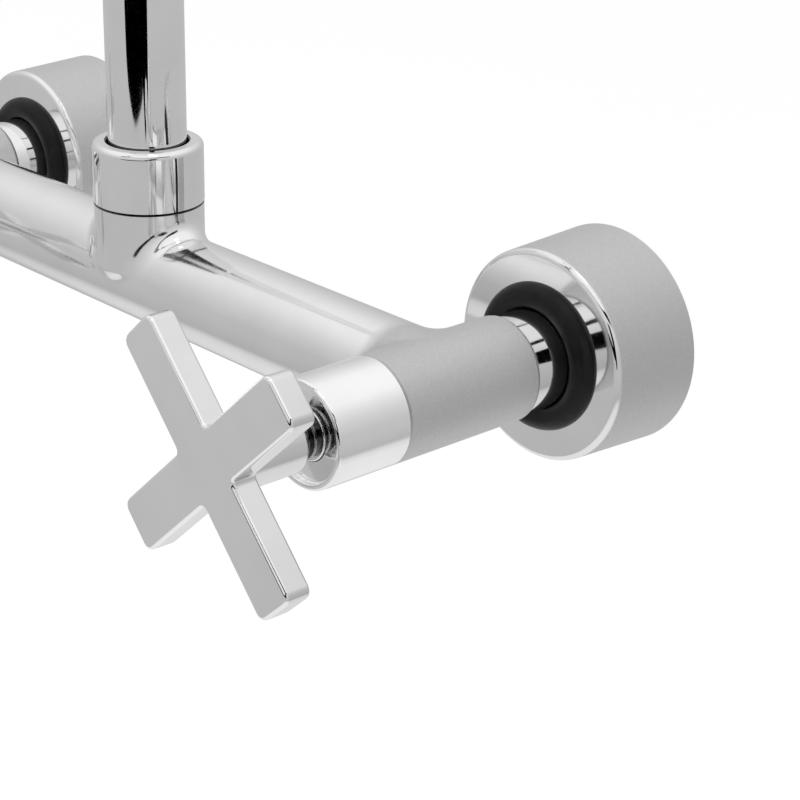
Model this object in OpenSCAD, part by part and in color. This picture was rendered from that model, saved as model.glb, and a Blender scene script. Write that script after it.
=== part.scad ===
// Wall-mounted bridge pre rinse faucet with cross handles, a swivel riser,
// a sprung hose arch and a squeeze spray valve. Millimetres, +Z up.
// The origin is on the wall face, midway between the two inlets.
// The wall lies towards +Y and the user stands towards -Y.

/* [Wall inlets] */
// Distance between the hot and cold inlet axes
inlet_spacing = 203.2; // [190:0.1:230]
// Outside diameter of the pipe thread that enters the wall
pipe_thread_d = 21.3; // [20:0.1:24]
// Length of the pipe thread behind the wall face
pipe_thread_l = 13; // [10:1:30]
// Bore of the inlet parts
inlet_bore_d = 12; // [10:0.5:13]
// Outside diameter of the union thread
union_thread_d = 26.4; // [26:0.1:27.4]
// Distance from the wall face to the end of the union thread
union_thread_reach = 11; // [9:0.5:12]
// Width across the flats of the union nut
union_nut_af = 32; // [31:0.5:36]
// Length of the union nut
union_nut_l = 18; // [16:0.5:18]
// Thickness of the filter washer
filter_washer_t = 2; // [1.5:0.1:2.5]

/* [Wall shrouds] */
// Diameter of the shroud at the wall
shroud_back_d = 51; // [50:0.5:58]
// Diameter of the shroud at its front face
shroud_front_d = 49; // [48:0.5:56]
// Depth of the shroud from the wall
shroud_depth = 24; // [23.5:0.1:25.5]
// Wall thickness of the shroud
shroud_wall = 1.3; // [1:0.1:1.5]
// Rounding of the shroud's front edge
shroud_edge = 1.6; // [1.4:0.1:2.5]
// Outside diameter of the rubber ring
shroud_ring_d = 34.3; // [32:0.1:38]
// Height of the rubber ring in front of the shroud
shroud_ring_h = 4.8; // [4:0.1:6.5]

/* [Bridge body] */
// Diameter of the valve arms
arm_d = 24.2; // [24:0.1:26]
// Diameter of the bridge tube
bridge_d = 24.2; // [22:0.1:24.2]
// Distance from the wall to the bridge axis
bridge_reach = 56; // [55:0.5:60]
// Distance from the wall to the arm's rear shoulder
arm_rear = 34.8; // [34:0.1:36]
// Length of the arm in front of the bridge axis
arm_front_l = 17.2; // [16.6:0.1:19]
// Diameter of the neck behind the arm
neck_d = 22.8; // [22:0.1:23]
// Fillet between the bridge and the rear of the arms
rear_fillet = 7; // [4:0.5:8]
// Fillet between the bridge and the front of the arms
front_fillet = 4.7; // [3:0.1:6]
// Inside fillet between the riser boss and the bridge
boss_fillet = 4; // [3:0.5:6]
// Bore of the bridge waterway
bridge_bore_d = 15; // [12:0.5:16]
// Diameter of the valve chamber in each arm
chamber_d = 18.6; // [18.4:0.1:18.8]

/* [Valves] */
// Length of the chrome sleeve in front of each arm
sleeve_l = 19.7; // [18:0.1:24]
// Depth of the recess in the sleeve's front face
sleeve_recess = 1.5; // [1:0.1:2.5]
// Width of the rim round the recess
sleeve_rim = 1.5; // [1.2:0.1:2]
// Diameter of the ridged cartridge neck
cartridge_neck_d = 12; // [11:0.1:13]
// Length of the cartridge neck in front of the recess
cartridge_neck_l = 4.9; // [4:0.1:6]
// Diameter of the valve stem
stem_d = 8; // [7:0.1:8.4]
// Thickness of each ceramic disc
disc_t = 3; // [2.5:0.1:3.2]
// Outside diameter of the ceramic discs
disc_d = 15.4; // [14.5:0.1:15.4]

/* [Handles] */
// Length of each crossing bar from end to end
handle_span = 64.6; // [55:0.1:75]
// Width of the crossing bars
handle_bar_w = 12; // [9:0.1:13]
// Thickness of the crossing bars
handle_bar_t = 6.4; // [6:0.1:9]
// Chamfer along the edges of the bars
handle_edge = 0.8; // [0.5:0.1:1.2]
// Diameter of the handle hub
hub_d = 14.2; // [13.5:0.1:16]
// Length of the hub behind the bars
hub_l = 15; // [13:0.1:18]
// Angle of the bars when the valve is closed
handle_angle = 42.7; // [0:0.1:90]

/* [Riser] */
// Diameter of the riser tube
riser_d = 19; // [18.5:0.1:19.4]
// Wall thickness of the riser tube
riser_wall = 1.2; // [1:0.1:1.5]
// Height of the riser tube's top above the inlets
riser_top = 400; // [360:1:460]
// Height of the boss top above the bridge axis
boss_top = 18.4; // [18:0.1:21]
// Diameter of the riser collar
collar_d = 27; // [26.6:0.1:30]
// Height of the riser collar
collar_h = 15.1; // [14.8:0.1:18]
// Radial gap between the collar and the riser
collar_gap = 0.4; // [0.35:0.05:1]

/* [Hose arch] */
// Distance from the riser to the hanging spray head
reach = 190; // [170:1:220]
// Straight rise of the hose above its upper seat
arch_rise = 100; // [80:1:140]
// Straight drop of the hose above its lower seat
arch_drop = 170; // [150:1:180]
// Outside diameter of the hose
hose_d = 12; // [11:0.1:12.4]
// Bore of the hose
hose_bore_d = 8; // [7:0.1:8.4]
// Mean diameter of the arch spring
spring_d = 19; // [18.6:0.1:22]
// Wire diameter of the arch spring
spring_wire_d = 3.2; // [2.8:0.1:3.4]
// Distance between neighbouring turns of the arch spring
spring_pitch = 6.5; // [6.4:0.1:9]
// Diameter of the spring seats
seat_flange_d = 26; // [24:0.5:30]

/* [Dock] */
// Diameter of the dock arm rod
dock_rod_d = 10; // [8:0.1:12]
// Height of the fork and of its clamp boss
fork_h = 8; // [7:0.1:8.5]
// Wall thickness of the fork round the head's neck
fork_wall = 5.7; // [4:0.1:7]
// Height of the clamp ring on the riser
clamp_h = 16; // [15:0.5:20]
// Wall thickness of the clamp ring
clamp_wall = 4.5; // [3.5:0.1:6]

/* [Spray valve] */
// Diameter of the valve barrel
barrel_d = 34; // [33:0.5:38]
// Diameter of the spray bell's rim
bell_d = 50; // [48:0.5:56]
// Diameter of the grip
grip_d = 27; // [25:0.5:28]
// Length of the grip
grip_l = 80; // [70:1:90]
// Diameter of the tube inside the grip
grip_tube_d = 18; // [17:0.1:19]
// Diameter of the plunger rod
plunger_d = 5; // [4:0.1:6]
// Height of the lever above its pivot
lever_l = 120; // [105:1:124]
// Width of the lever
lever_w = 12; // [10:0.5:14]
// Thickness of the lever
lever_t = 3.2; // [2.5:0.1:3.6]
// Diameter of the lever pin
lever_pin_d = 3; // [2.5:0.1:4]
// Number of holes in the outer row of the spray face
face_holes = 16; // [8:1:20]

/* [Hidden] */
$fn = 64;

// Clearances
thread_gap = 0.05;      // between a thread and its mating thread
running_gap = 0.05;     // between a turning shaft and its bore
swivel_gap = 0.08;      // between the swivel spigot and its bore
face_gap = 0.05;        // between flat faces that seat or slide on each other
free_gap = 0.4;         // between pieces that pass without touching
cut = 1;                // how far a cutter passes its surface
seam = 0.3;             // chamfer on each side of a visible seam

// Inlet parts, as distances from the wall
tail_flange_d = union_thread_d - 0.8;
tail_flange_t = 3.5;
tail_flange_z = union_thread_reach + filter_washer_t;
nut_shoulder_z = tail_flange_z + tail_flange_t + face_gap;
nut_front_z = min(shroud_depth - shroud_wall - 1, nut_shoulder_z + 4.4);
tail_thread_d = 17.2;
tail_thread_l = 11;
shank_shoulder = 1;

// Rubber ring
ring_hole_d = shroud_ring_d - 6;
ring_bore_d = neck_d + 0.2;
ring_land = 0.8;

// Valve arm, as distances from the wall
arm_front = bridge_reach + arm_front_l;
arm_edge = 1.2;
rear_bend = min(rear_fillet, bridge_reach - arm_rear - arm_edge - bridge_d / 2);
front_bend = min(front_fillet, arm_front_l - seam - bridge_d / 2);
boss_bend_in = min(boss_fillet, boss_top - seam - bridge_d / 2);
seat_z = bridge_reach - 8;
seal_t = 2;
fixed_disc_z = seat_z + seal_t;
moving_disc_z = fixed_disc_z + disc_t + face_gap;
moving_disc_top = moving_disc_z + disc_t;
disc_slot = 1.4;
drive_w = 4;
drive_gap = 0.1;
drive_l = disc_d - 2.4;
window_h = 4.4;
cavity_top = moving_disc_top + window_h + 0.6;
cavity_d = disc_d + 0.6;
cartridge_d = chamber_d - 2 * thread_gap;
sleeve_spigot_l = 7;
sleeve_spigot_d = arm_d - 3;
sleeve_front = arm_front + sleeve_l;
recess_z = sleeve_front - sleeve_recess;
cartridge_shoulder = recess_z - 5.3;
neck_front = recess_z + cartridge_neck_l;
ridge_pitch = cartridge_neck_l / 2.6;
ridge_depth = 0.9;
sleeve_edge = 0.7;
neck_gap = 0.15;
window_w = 7;

// Handle, as distances from the wall
hub_rear = neck_front + free_gap;
hub_edge = 0.5;
bars_rear = hub_rear + hub_l;
handle_front = bars_rear + handle_bar_t;
stem_flat = stem_d * 0.4;
stem_end = bars_rear + 1.6;
set_screw_d = 4;
set_screw_z = hub_rear + hub_l / 2;
seal_section = 1;
stem_seal_z = [cavity_top + 7, cavity_top + 13];

// Riser base, as heights above the bridge axis
boss_d = collar_d - 0.2;
spigot_top = boss_top + 7.6;
boss_flare = 8;
boss_spigot_d = collar_d - 4;
swivel_d = riser_d;
swivel_bore_d = swivel_d + 2 * swivel_gap;
swivel_foot = 8;
swivel_bore_in = riser_d - 6;
flange_d = boss_spigot_d - 0.4;
flange_z = spigot_top + face_gap;
flange_t = 2.5;
washer_z = flange_z + flange_t + face_gap;
washer_t = 1.5;
collar_ceiling = washer_z + washer_t + 0.1;
collar_top = boss_top + collar_h;
collar_edge = 1.4;
nose_l = 15;
riser_bore_d = riser_d - 2 * riser_wall;
riser_seal_section = 1.6;
riser_seal_z = [boss_top - 5.5, boss_top];

// Tubes made of flat faces
curl_rings = 8;
wire_sides = 6;
hose_sides = 12;
hose_bend_steps = 16;

// Hose arch
arch_r = reach / 2;
union_hex_af = 26;
union_hex_h = 9;
flange_h = 3;
upper_seat = riser_top + union_hex_h + flange_h;
arch_spring_line = upper_seat + arch_rise;
lower_seat = arch_spring_line - arch_drop;
arch_bend = PI * arch_r;
arch_l = arch_rise + arch_bend + arch_drop;
union_skirt_l = 15;
union_skirt_t = 2.5;
winding_inside = (spring_d - spring_wire_d) / 2 * cos(180 / curl_rings);
union_neck_d = 2 * (winding_inside - 0.3);
union_neck_l = 10;
tail_d = hose_d - 0.2;
tail_screw_l = 18;
barb_d = hose_bore_d * cos(180 / hose_sides) - 2 * thread_gap;
barb_l = 20;
tail_bore_d = 5.4;
ferrule_t = winding_inside - 0.3 - hose_d / 2 - thread_gap;
ferrule_lip = 1.5;
hose_start = union_neck_l + ferrule_lip + 0.3;
hose_l = arch_l - 2 * hose_start;

// Head position
head_y = -bridge_reach - reach;
neck_h = fork_h + 1;
head_hex_h = 8;
head_hex_af = 24;
head_neck_d = 19;
head_nose_l = 14;
head_nose_d = 13.8;
grip_floor = 31;
grip_roof = grip_floor + grip_l;
valve_z = lower_seat - flange_h - neck_h - head_hex_h - 2 - grip_roof;

// Spray valve, round the crossing of the grip axis and the plunger axis
chamber_r = 8.5;
chamber_back = 12;
water_r = 4.5;
inlet_port_y = 6;
inlet_port_r = 3.8;
outlet_port_y = -9.5;
outlet_port_r = 3.5;
boss_r = 12.5;
boss_front = 26;
valve_seat_y = [-5, -1.5];
nut_inner = 15;
nut_outer = 32;
nut_hex_af = 21;
poppet_r = 6.8;
poppet_t = 2.2;
poppet_gap = 0.05;
washer_front = valve_seat_y[1] + poppet_gap;
poppet_front = washer_front + 1.25;
poppet_back = poppet_front + poppet_t;
plunger_tip = -38;
tip_edge = 1.3;
lever_gap = 0.3;
lever_line = plunger_tip - lever_gap - lever_t / 2;
pivot = [-28, -20];
knuckle_r = 4.5;
knuckle_land = 0.1;
lug_r = 5.5;
lug_t = 3.5;
lug_gap = 0.3;
bell_top = -20;
bell_rim = -34;
bell_foot = -40;
barrel_top = 24;
face_t = 2.5;
face_r = bell_d / 2 - 3.6;
face_z = bell_foot + 1.5;
face_screw_d = 4;
bumper_t = 1.5;
bumper_bulge = 2;
bumper_h = 10;
bumper_lip = 2;
return_wire_d = 1;
return_turns = 5;
return_d = 10;

// Dock
dock_z = lower_seat - flange_h - face_gap - fork_h / 2;
clamp_r = riser_d / 2 + running_gap;
fork_r = head_neck_d / 2 + 0.3;
rod_stop = seat_flange_d / 2 + 1;
rod_foot = clamp_r + 2;
socket_wall = 2.5;
socket_l = 10;
ear_t = 5;
ear_gap = 2.4;
ear_l = 11;
clamp_screw_d = 5;

CHROME = [0.80, 0.80, 0.82];
CAST_CHROME = [0.74, 0.74, 0.76];
BRASS = [0.80, 0.66, 0.36];
RUBBER = [0.08, 0.08, 0.09];
CERAMIC = [0.93, 0.92, 0.88];
NYLON = [0.90, 0.90, 0.86];
STEEL = [0.62, 0.63, 0.65];

// ---- places ----

// Puts a piece whose +Z points away from the wall on the hot or cold inlet axis
module hot_side() translate([-inlet_spacing / 2, 0, 0]) rotate([90, 0, 0]) children();
module cold_side() translate([inlet_spacing / 2, 0, 0]) rotate([90, 0, 0]) children();
// Turns a valve piece to the closed position of its handle
module at_rest_angle() rotate([0, 0, handle_angle]) children();
module at_riser() translate([0, -bridge_reach, 0]) children();
module at_head() translate([0, head_y, valve_z]) children();
// Lays +Z along +Y
module along_y() rotate([-90, 0, 0]) children();
// Lays +Z along +X, from the hot inlet axis to the cold one
module across() translate([-inlet_spacing / 2, 0, 0]) rotate([0, 90, 0]) children();

// ---- shared shapes ----

// A cylinder from height a to height b
module rod(r, a, b) translate([0, 0, a]) cylinder(r = r, h = b - a);
// A ring from height a to height b
module ring(r_out, r_in, a, b) {
    difference() {
        rod(r_out, a, b);
        rod(r_in, a - cut, b + cut);
    }
}
// A cylinder from a to b whose edge at b is rounded by e
module soft_rod(r, a, b, e) {
    translate([0, 0, a])
    rotate_extrude() {
        square([r - e, b - a]);
        square([r, b - a - e]);
        translate([r - e, b - a - e]) intersection() {
            circle(e);
            square(e);
        }
    }
}
// A cylinder from a to b, chamfered at b for a seam
module seam_rod(r, a, b) {
    rod(r, a, b - seam);
    translate([0, 0, b - seam]) cylinder(r1 = r, r2 = r - seam, h = seam);
}
// A cylinder from a to b, chamfered at a for a seam and rounded by e at b
module seamed_cap(r, a, b, e) {
    translate([0, 0, a]) cylinder(r1 = r - seam, r2 = r, h = seam);
    soft_rod(r, a + seam, b, e);
}
// A hexagon bar with af across its flats
module hex_rod(af, a, b) translate([0, 0, a]) cylinder(d = af / cos(30), h = b - a, $fn = 6);
// A hexagon nut with its corners turned off at both ends
module turned_hex(af, a, b) {
    e = af * 0.04;
    corner = af / cos(30) / 2;
    intersection() {
        hex_rod(af, a, b);
        union() {
            translate([0, 0, a]) cylinder(r1 = corner - e, r2 = corner, h = e);
            rod(corner, a + e, b - e);
            translate([0, 0, b - e]) cylinder(r1 = corner, r2 = corner - e, h = e);
        }
    }
}
module torus(r_mid, r_tube, z) {
    translate([0, 0, z]) rotate_extrude() translate([r_mid, 0]) circle(r_tube);
}
// The groove that a round seal needs in a rod of radius r
module seal_groove(r, section, z) ring(2 * r, r - section, z - section * 0.6, z + section * 0.6);
// A box with its long edges and ends chamfered by e
module chamfer_box(l, w, t, e) {
    hull() {
        cube([l, w - 2 * e, t - 2 * e], center = true);
        cube([l - 2 * e, w, t - 2 * e], center = true);
        cube([l - 2 * e, w - 2 * e, t], center = true);
    }
}
function unit(v) = v / norm(v);
function turn_left(v) = [-v.y, v.x];
// Left edge of a strip along the line p, its corners mitred
function strip_edge(p, half_w) =
    [for (i = [0:len(p) - 1])
        let (before = max(i, 1), after = min(i, len(p) - 2),
            n = turn_left(unit(p[before] - p[before - 1])) + turn_left(unit(p[after + 1] - p[after])))
        p[i] + 2 * half_w * n / (n * n)];
// A flat strip along the line p, w wide
module strip(p, w) {
    left = strip_edge(p, w / 2);
    right = strip_edge(p, -w / 2);
    polygon(concat(left, [for (i = [len(p) - 1:-1:0]) right[i]]));
}

// ---- wound tubes ----

// Corner points of one ring of a tube at point p, square to t, with n pointing to its first corner
function tube_ring(p, t, n, r, sides) =
    let (b = unit(cross(t, n)), m = cross(b, t))
    [for (k = [0:sides - 1]) p + r * (cos(360 * k / sides) * m + sin(360 * k / sides) * b)];
// Tangent of a run of points at its point i
function tangent(p, i) = unit(p[min(i + 1, len(p) - 1)] - p[max(i - 1, 0)]);
// Direction of the tube at point i: the ends stay square to their first and last run
function tube_points(p, n, r, sides) =
    [for (i = [0:len(p) - 1]) each tube_ring(p[i], tangent(p, i), n[i], r, sides)];
function tube_sides(rings, sides) =
    [for (i = [0:rings - 2], k = [0:sides - 1])
        let (a = i * sides + k, b = i * sides + (k + 1) % sides)
        each [[a, a + sides, b], [b, a + sides, b + sides]]];
function tube_caps(rings, sides) =
    let (last = (rings - 1) * sides)
    [for (k = [1:sides - 2]) each [[0, k, k + 1], [last, last + k + 1, last + k]]];
// A solid tube through points p; n holds a sideways direction for each point
module solid_tube(p, n, r, sides) {
    polyhedron(points = tube_points(p, n, r, sides),
        faces = concat(tube_sides(len(p), sides), tube_caps(len(p), sides)), convexity = 10);
}

// The arch line at length s from the upper seat: straight up, half a circle, straight down
function arch_angle(s) = min(max((s - arch_rise) / arch_r, 0), PI) * 180 / PI;
function arch_point(s) =
    s < arch_rise ? [0, -bridge_reach, upper_seat + s] :
    s > arch_rise + arch_bend ? [0, head_y, arch_spring_line - (s - arch_rise - arch_bend)] :
    [0, -bridge_reach - arch_r * (1 - cos(arch_angle(s))), arch_spring_line + arch_r * sin(arch_angle(s))];
// Direction at length s, turned by phi round the arch line
function arch_out(s, phi) =
    let (a = arch_angle(s))
    cos(phi) * [1, 0, 0] + sin(phi) * [0, cos(a), sin(a)];

// The spring stands on a straight end one wire long, then winds, then ends the same way
spring_turns = round((arch_l - 2 * spring_wire_d) / spring_pitch);
spring_steps = spring_turns * curl_rings;
spring_stations = concat([[0, 0]],
    [for (i = [0:spring_steps])
        [spring_wire_d + (arch_l - 2 * spring_wire_d) * i / spring_steps, 360 * i / curl_rings]],
    [[arch_l, 360 * spring_turns]]);
spring_out = [for (q = spring_stations) arch_out(q[0], q[1])];
spring_line = [for (i = [0:len(spring_stations) - 1])
    arch_point(spring_stations[i][0]) + spring_d / 2 * spring_out[i]];

// The return spring winds along +Y between the poppet and the chamber's rear wall
return_l = chamber_back - poppet_back;
return_steps = return_turns * curl_rings;
return_stations = concat([[0, 0]],
    [for (i = [0:return_steps])
        [return_wire_d + (return_l - 2 * return_wire_d) * i / return_steps, 360 * i / curl_rings]],
    [[return_l, 360 * return_turns]]);
return_out = [for (q = return_stations) [cos(q[1]), 0, sin(q[1])]];
return_line = [for (i = [0:len(return_stations) - 1])
    [0, poppet_back + return_stations[i][0], 0] + return_d / 2 * return_out[i]];

// Distance of point p from the run between a and b
function run_distance(p, a, b) =
    let (d = b - a, h = min(max((p - a) * d / (d * d), 0), 1))
    norm(p - a - h * d);
// Least gap between a winding and itself, measured on its points
function least_gap(p, wire) =
    min([for (i = [0:len(p) - 1], j = [i + curl_rings / 2:min(i + 2 * curl_rings, len(p) - 2)])
        run_distance(p[i], p[j], p[j + 1])]) - wire;
echo(arch_spring_turns = spring_turns, arch_spring_least_gap = least_gap(spring_line, spring_wire_d));
echo(return_spring_least_gap = least_gap(return_line, return_wire_d));
echo(hose_length = hose_l);

// ---- inlets ----

module inlet_shank() {
    color(BRASS)
    difference() {
        union() {
            rod(pipe_thread_d / 2, -pipe_thread_l, shank_shoulder);
            rod(union_thread_d / 2, shank_shoulder, union_thread_reach);
        }
        rod(inlet_bore_d / 2, -pipe_thread_l - cut, union_thread_reach + cut);
    }
}

module filter_washer() {
    color(RUBBER)
    ring(tail_flange_d / 2 - 0.2, inlet_bore_d / 2 + 0.5, union_thread_reach, tail_flange_z);
}

module inlet_tail() {
    color(CHROME)
    difference() {
        union() {
            rod(tail_flange_d / 2, tail_flange_z, tail_flange_z + tail_flange_t);
            rod(neck_d / 2, tail_flange_z + tail_flange_t - face_gap, arm_rear);
            rod(tail_thread_d / 2, arm_rear - face_gap, arm_rear + tail_thread_l);
        }
        rod(inlet_bore_d / 2, tail_flange_z - cut, arm_rear + tail_thread_l + cut);
    }
}

module union_nut() {
    color(BRASS)
    difference() {
        turned_hex(union_nut_af, nut_front_z - union_nut_l, nut_front_z);
        rod(union_thread_d / 2 + thread_gap, nut_front_z - union_nut_l - cut, nut_shoulder_z);
        rod(neck_d / 2 + thread_gap, nut_shoulder_z - cut, nut_front_z + cut);
    }
}

module wall_shroud() {
    back_r = shroud_back_d / 2;
    front_r = shroud_front_d / 2;
    inner_l = shroud_depth - shroud_wall + cut;
    color(CHROME)
    difference() {
        intersection() {
            cylinder(r1 = back_r, r2 = front_r, h = shroud_depth);
            soft_rod(back_r + shroud_edge, 0, shroud_depth, back_r - front_r + 2 * shroud_edge);
        }
        translate([0, 0, -cut]) cylinder(r1 = back_r - shroud_wall, r2 = front_r - shroud_wall, h = inner_l);
        rod(ring_hole_d / 2, 0, shroud_depth + cut);
    }
}

// A grommet: a rounded bead in front of the shroud and a spigot through its hole
module shroud_ring() {
    bead = (shroud_ring_d - ring_bore_d) / 2;
    color(RUBBER)
    rotate_extrude() {
        intersection() {
            translate([ring_bore_d / 2, shroud_depth + face_gap]) scale([bead, shroud_ring_h]) circle(1);
            translate([ring_bore_d / 2, shroud_depth + face_gap]) square([bead, shroud_ring_h]);
        }
        translate([ring_bore_d / 2, shroud_depth - shroud_wall])
        square([ring_hole_d / 2 - thread_gap - ring_bore_d / 2, shroud_wall + face_gap + ring_land]);
    }
}

// ---- bridge body ----

// One valve arm, its rear shoulder rounded
module arm_outside() {
    middle = bridge_reach - bridge_d / 4;
    translate([0, 0, middle]) rotate([180, 0, 0]) soft_rod(arm_d / 2, 0, middle - arm_rear, arm_edge);
    seam_rod(arm_d / 2, middle, arm_front);
}

module arm_bores() {
    rod(tail_thread_d / 2 + thread_gap, arm_rear - cut, arm_rear + tail_thread_l + 0.2);
    rod(inlet_bore_d / 2, arm_rear, seat_z + cut);
    rod(chamber_d / 2, seat_z, arm_front + cut);
    rod(sleeve_spigot_d / 2 + thread_gap, arm_front - sleeve_spigot_l - 0.2, arm_front + cut);
}

// A quarter bend of the bridge tube that fills an inside corner
module corner_bend(fillet) {
    bend_r = bridge_d / 2 + fillet;
    rotate_extrude(angle = 90) translate([bend_r, 0]) circle(bridge_d / 2 - 0.02);
}

// The bend behind the bridge at x = inlet_spacing / 2, or in front of it once mirrored
module arm_bend(fillet) {
    bend_r = bridge_d / 2 + fillet;
    translate([inlet_spacing / 2 - bend_r, bend_r, 0]) rotate([0, 0, -90]) corner_bend(fillet);
}

module boss_bend(fillet) {
    bend_r = bridge_d / 2 + fillet;
    translate([bend_r, 0, bend_r]) rotate([90, 0, 0]) rotate([0, 0, 180]) corner_bend(fillet);
}

module bridge_body() {
    color(CAST_CHROME)
    difference() {
        union() {
            hot_side() arm_outside();
            cold_side() arm_outside();
            at_riser() {
                across() cylinder(d = bridge_d, h = inlet_spacing);
                for (side = [0, 1]) {
                    mirror([side, 0, 0]) arm_bend(rear_bend);
                    mirror([side, 0, 0]) mirror([0, 1, 0]) arm_bend(front_bend);
                    mirror([side, 0, 0]) boss_bend(boss_bend_in);
                }
                cylinder(d1 = bridge_d - 0.1, d2 = boss_d, h = boss_flare);
                seam_rod(boss_d / 2, boss_flare, boss_top);
                rod(boss_spigot_d / 2, boss_top - cut, spigot_top);
            }
        }
        hot_side() arm_bores();
        cold_side() arm_bores();
        at_riser() {
            across() cylinder(d = bridge_bore_d, h = inlet_spacing);
            rod(bridge_bore_d / 2, 0, spigot_top);
            rod(swivel_bore_d / 2, swivel_foot, spigot_top + cut);
        }
    }
}

// ---- valves ----

module valve_sleeve() {
    rear = arm_front - sleeve_spigot_l;
    color(CHROME)
    difference() {
        union() {
            rod(sleeve_spigot_d / 2, rear, arm_front + cut);
            seamed_cap(arm_d / 2, arm_front + face_gap, sleeve_front, sleeve_edge);
        }
        rod(chamber_d / 2, rear - cut, cartridge_shoulder);
        rod(cartridge_neck_d / 2 + neck_gap, cartridge_shoulder - cut, sleeve_front);
        rod(arm_d / 2 - sleeve_rim, recess_z, sleeve_front + cut);
    }
}

// The cartridge housing: disc cavity with side windows, stem bore and ridged neck
module cartridge() {
    color(BRASS)
    difference() {
        union() {
            rod(cartridge_d / 2, fixed_disc_z, cartridge_shoulder - face_gap);
            rod(cartridge_neck_d / 2, cartridge_shoulder - cut, neck_front);
        }
        rod(cavity_d / 2, fixed_disc_z - cut, cavity_top);
        rod(stem_d / 2 + running_gap, cavity_top - cut, neck_front + cut);
        for (turn = [0, 90]) {
            rotate([0, 0, turn]) translate([-chamber_d, -window_w / 2, moving_disc_top + 0.2])
            cube([2 * chamber_d, window_w, window_h]);
        }
        for (ridge = [0:1]) {
            low = recess_z + ridge_depth + ridge * ridge_pitch;
            ring(cartridge_neck_d, cartridge_neck_d / 2 - ridge_depth, low, low + ridge_pitch / 2);
        }
    }
}

module seat_seal() {
    color(RUBBER) ring(cavity_d / 2, inlet_bore_d / 2, seat_z, fixed_disc_z);
}

// The two quarter-circle water ports that a disc has
module disc_ports(a, b) {
    for (turn = [0, 180]) {
        rotate([0, 0, turn])
        intersection() {
            ring(disc_d / 2 - 2, drive_w / 2 + 0.6, a, b);
            translate([0, 0, a]) cube([disc_d, disc_d, b - a]);
        }
    }
}

module fixed_disc() {
    color(CERAMIC)
    difference() {
        rod(cavity_d / 2 - 0.05, fixed_disc_z, fixed_disc_z + disc_t);
        disc_ports(fixed_disc_z - cut, fixed_disc_z + disc_t + cut);
    }
}

module moving_disc() {
    color(CERAMIC)
    difference() {
        rod(disc_d / 2, moving_disc_z, moving_disc_top);
        rotate([0, 0, 90]) disc_ports(moving_disc_z - cut, moving_disc_top + cut);
        translate([-disc_d, -drive_w / 2 - drive_gap, moving_disc_top - disc_slot])
        cube([2 * disc_d, drive_w + 2 * drive_gap, disc_t]);
    }
}

module stem() {
    drive_low = moving_disc_top - disc_slot + drive_gap;
    color(BRASS)
    difference() {
        union() {
            translate([-drive_l / 2, -drive_w / 2, drive_low])
            cube([drive_l, drive_w, cavity_top - drive_gap - drive_low]);
            rod(stem_d / 2, cavity_top - cut, stem_end);
        }
        for (z = stem_seal_z) seal_groove(stem_d / 2, seal_section, z);
        translate([-stem_d, -stem_d - stem_flat, hub_rear]) cube([2 * stem_d, stem_d, stem_end]);
    }
}

module stem_seals() {
    color(RUBBER)
    for (z = stem_seal_z) {
        torus(stem_d / 2 - seal_section / 2 + 0.01, seal_section / 2 - 0.01, z);
    }
}

module handle() {
    color(CHROME)
    difference() {
        union() {
            at_rest_angle()
            for (turn = [0, 90]) {
                rotate([0, 0, turn])
                translate([0, 0, bars_rear + handle_bar_t / 2])
                chamfer_box(handle_span, handle_bar_w, handle_bar_t, handle_edge);
            }
            translate([0, 0, bars_rear + cut]) rotate([180, 0, 0])
            soft_rod(hub_d / 2, 0, hub_l + cut, hub_edge);
        }
        difference() {
            rod(stem_d / 2 + thread_gap, hub_rear - cut, stem_end + 0.4);
            translate([-stem_d, -stem_d - stem_flat - thread_gap, 0])
            cube([2 * stem_d, stem_d, stem_end + cut]);
        }
        translate([0, 0, set_screw_z]) rotate([90, 0, 0]) rod(set_screw_d / 2 + thread_gap, 0, hub_d);
    }
}

module set_screw() {
    color(STEEL)
    translate([0, 0, set_screw_z])
    rotate([90, 0, 0])
    difference() {
        rod(set_screw_d / 2, stem_flat + face_gap, hub_d / 2 - 0.4);
        hex_rod(set_screw_d / 2, hub_d / 2 - 2, hub_d / 2);
    }
}

// ---- riser base ----

module riser_collar() {
    mouth_r = riser_d / 2 + collar_gap;
    color(CHROME)
    difference() {
        union() {
            seamed_cap(collar_d / 2, boss_top + face_gap, collar_top, collar_edge);
        }
        rod(boss_spigot_d / 2 + thread_gap, boss_top - cut, collar_ceiling);
        rod(mouth_r, collar_ceiling - cut, collar_top + cut);
        translate([0, 0, collar_top - 0.4]) cylinder(r1 = mouth_r, r2 = mouth_r + 0.5, h = 0.5);
    }
}

module swivel_spigot() {
    color(BRASS)
    difference() {
        union() {
            rod(swivel_d / 2, swivel_foot + 0.2, flange_z + cut);
            rod(flange_d / 2, flange_z, flange_z + flange_t);
            rod(riser_bore_d / 2 - thread_gap, flange_z + cut, flange_z + flange_t + nose_l);
        }
        rod(swivel_bore_in / 2, swivel_foot - cut, flange_z + flange_t + nose_l + cut);
        for (z = riser_seal_z) seal_groove(swivel_d / 2, riser_seal_section, z);
    }
}

module riser_seals() {
    color(RUBBER)
    for (z = riser_seal_z) {
        torus(swivel_d / 2 - riser_seal_section / 2 + 0.02, riser_seal_section / 2 - 0.01, z);
    }
}

module swivel_washer() {
    color(NYLON) ring(flange_d / 2, riser_d / 2 + 0.15, washer_z, washer_z + washer_t);
}

module riser_tube() {
    color(CHROME)
    ring(riser_d / 2, riser_bore_d / 2, flange_z + flange_t, riser_top - face_gap);
}

// ---- hose arch ----

// The upper half of both unions: spring seat, neck inside the spring, threaded bore
module spring_seat() {
    soft_rod(seat_flange_d / 2, -flange_h, 0, 0.6);
    rod(union_neck_d / 2, -cut, union_neck_l);
}

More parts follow.
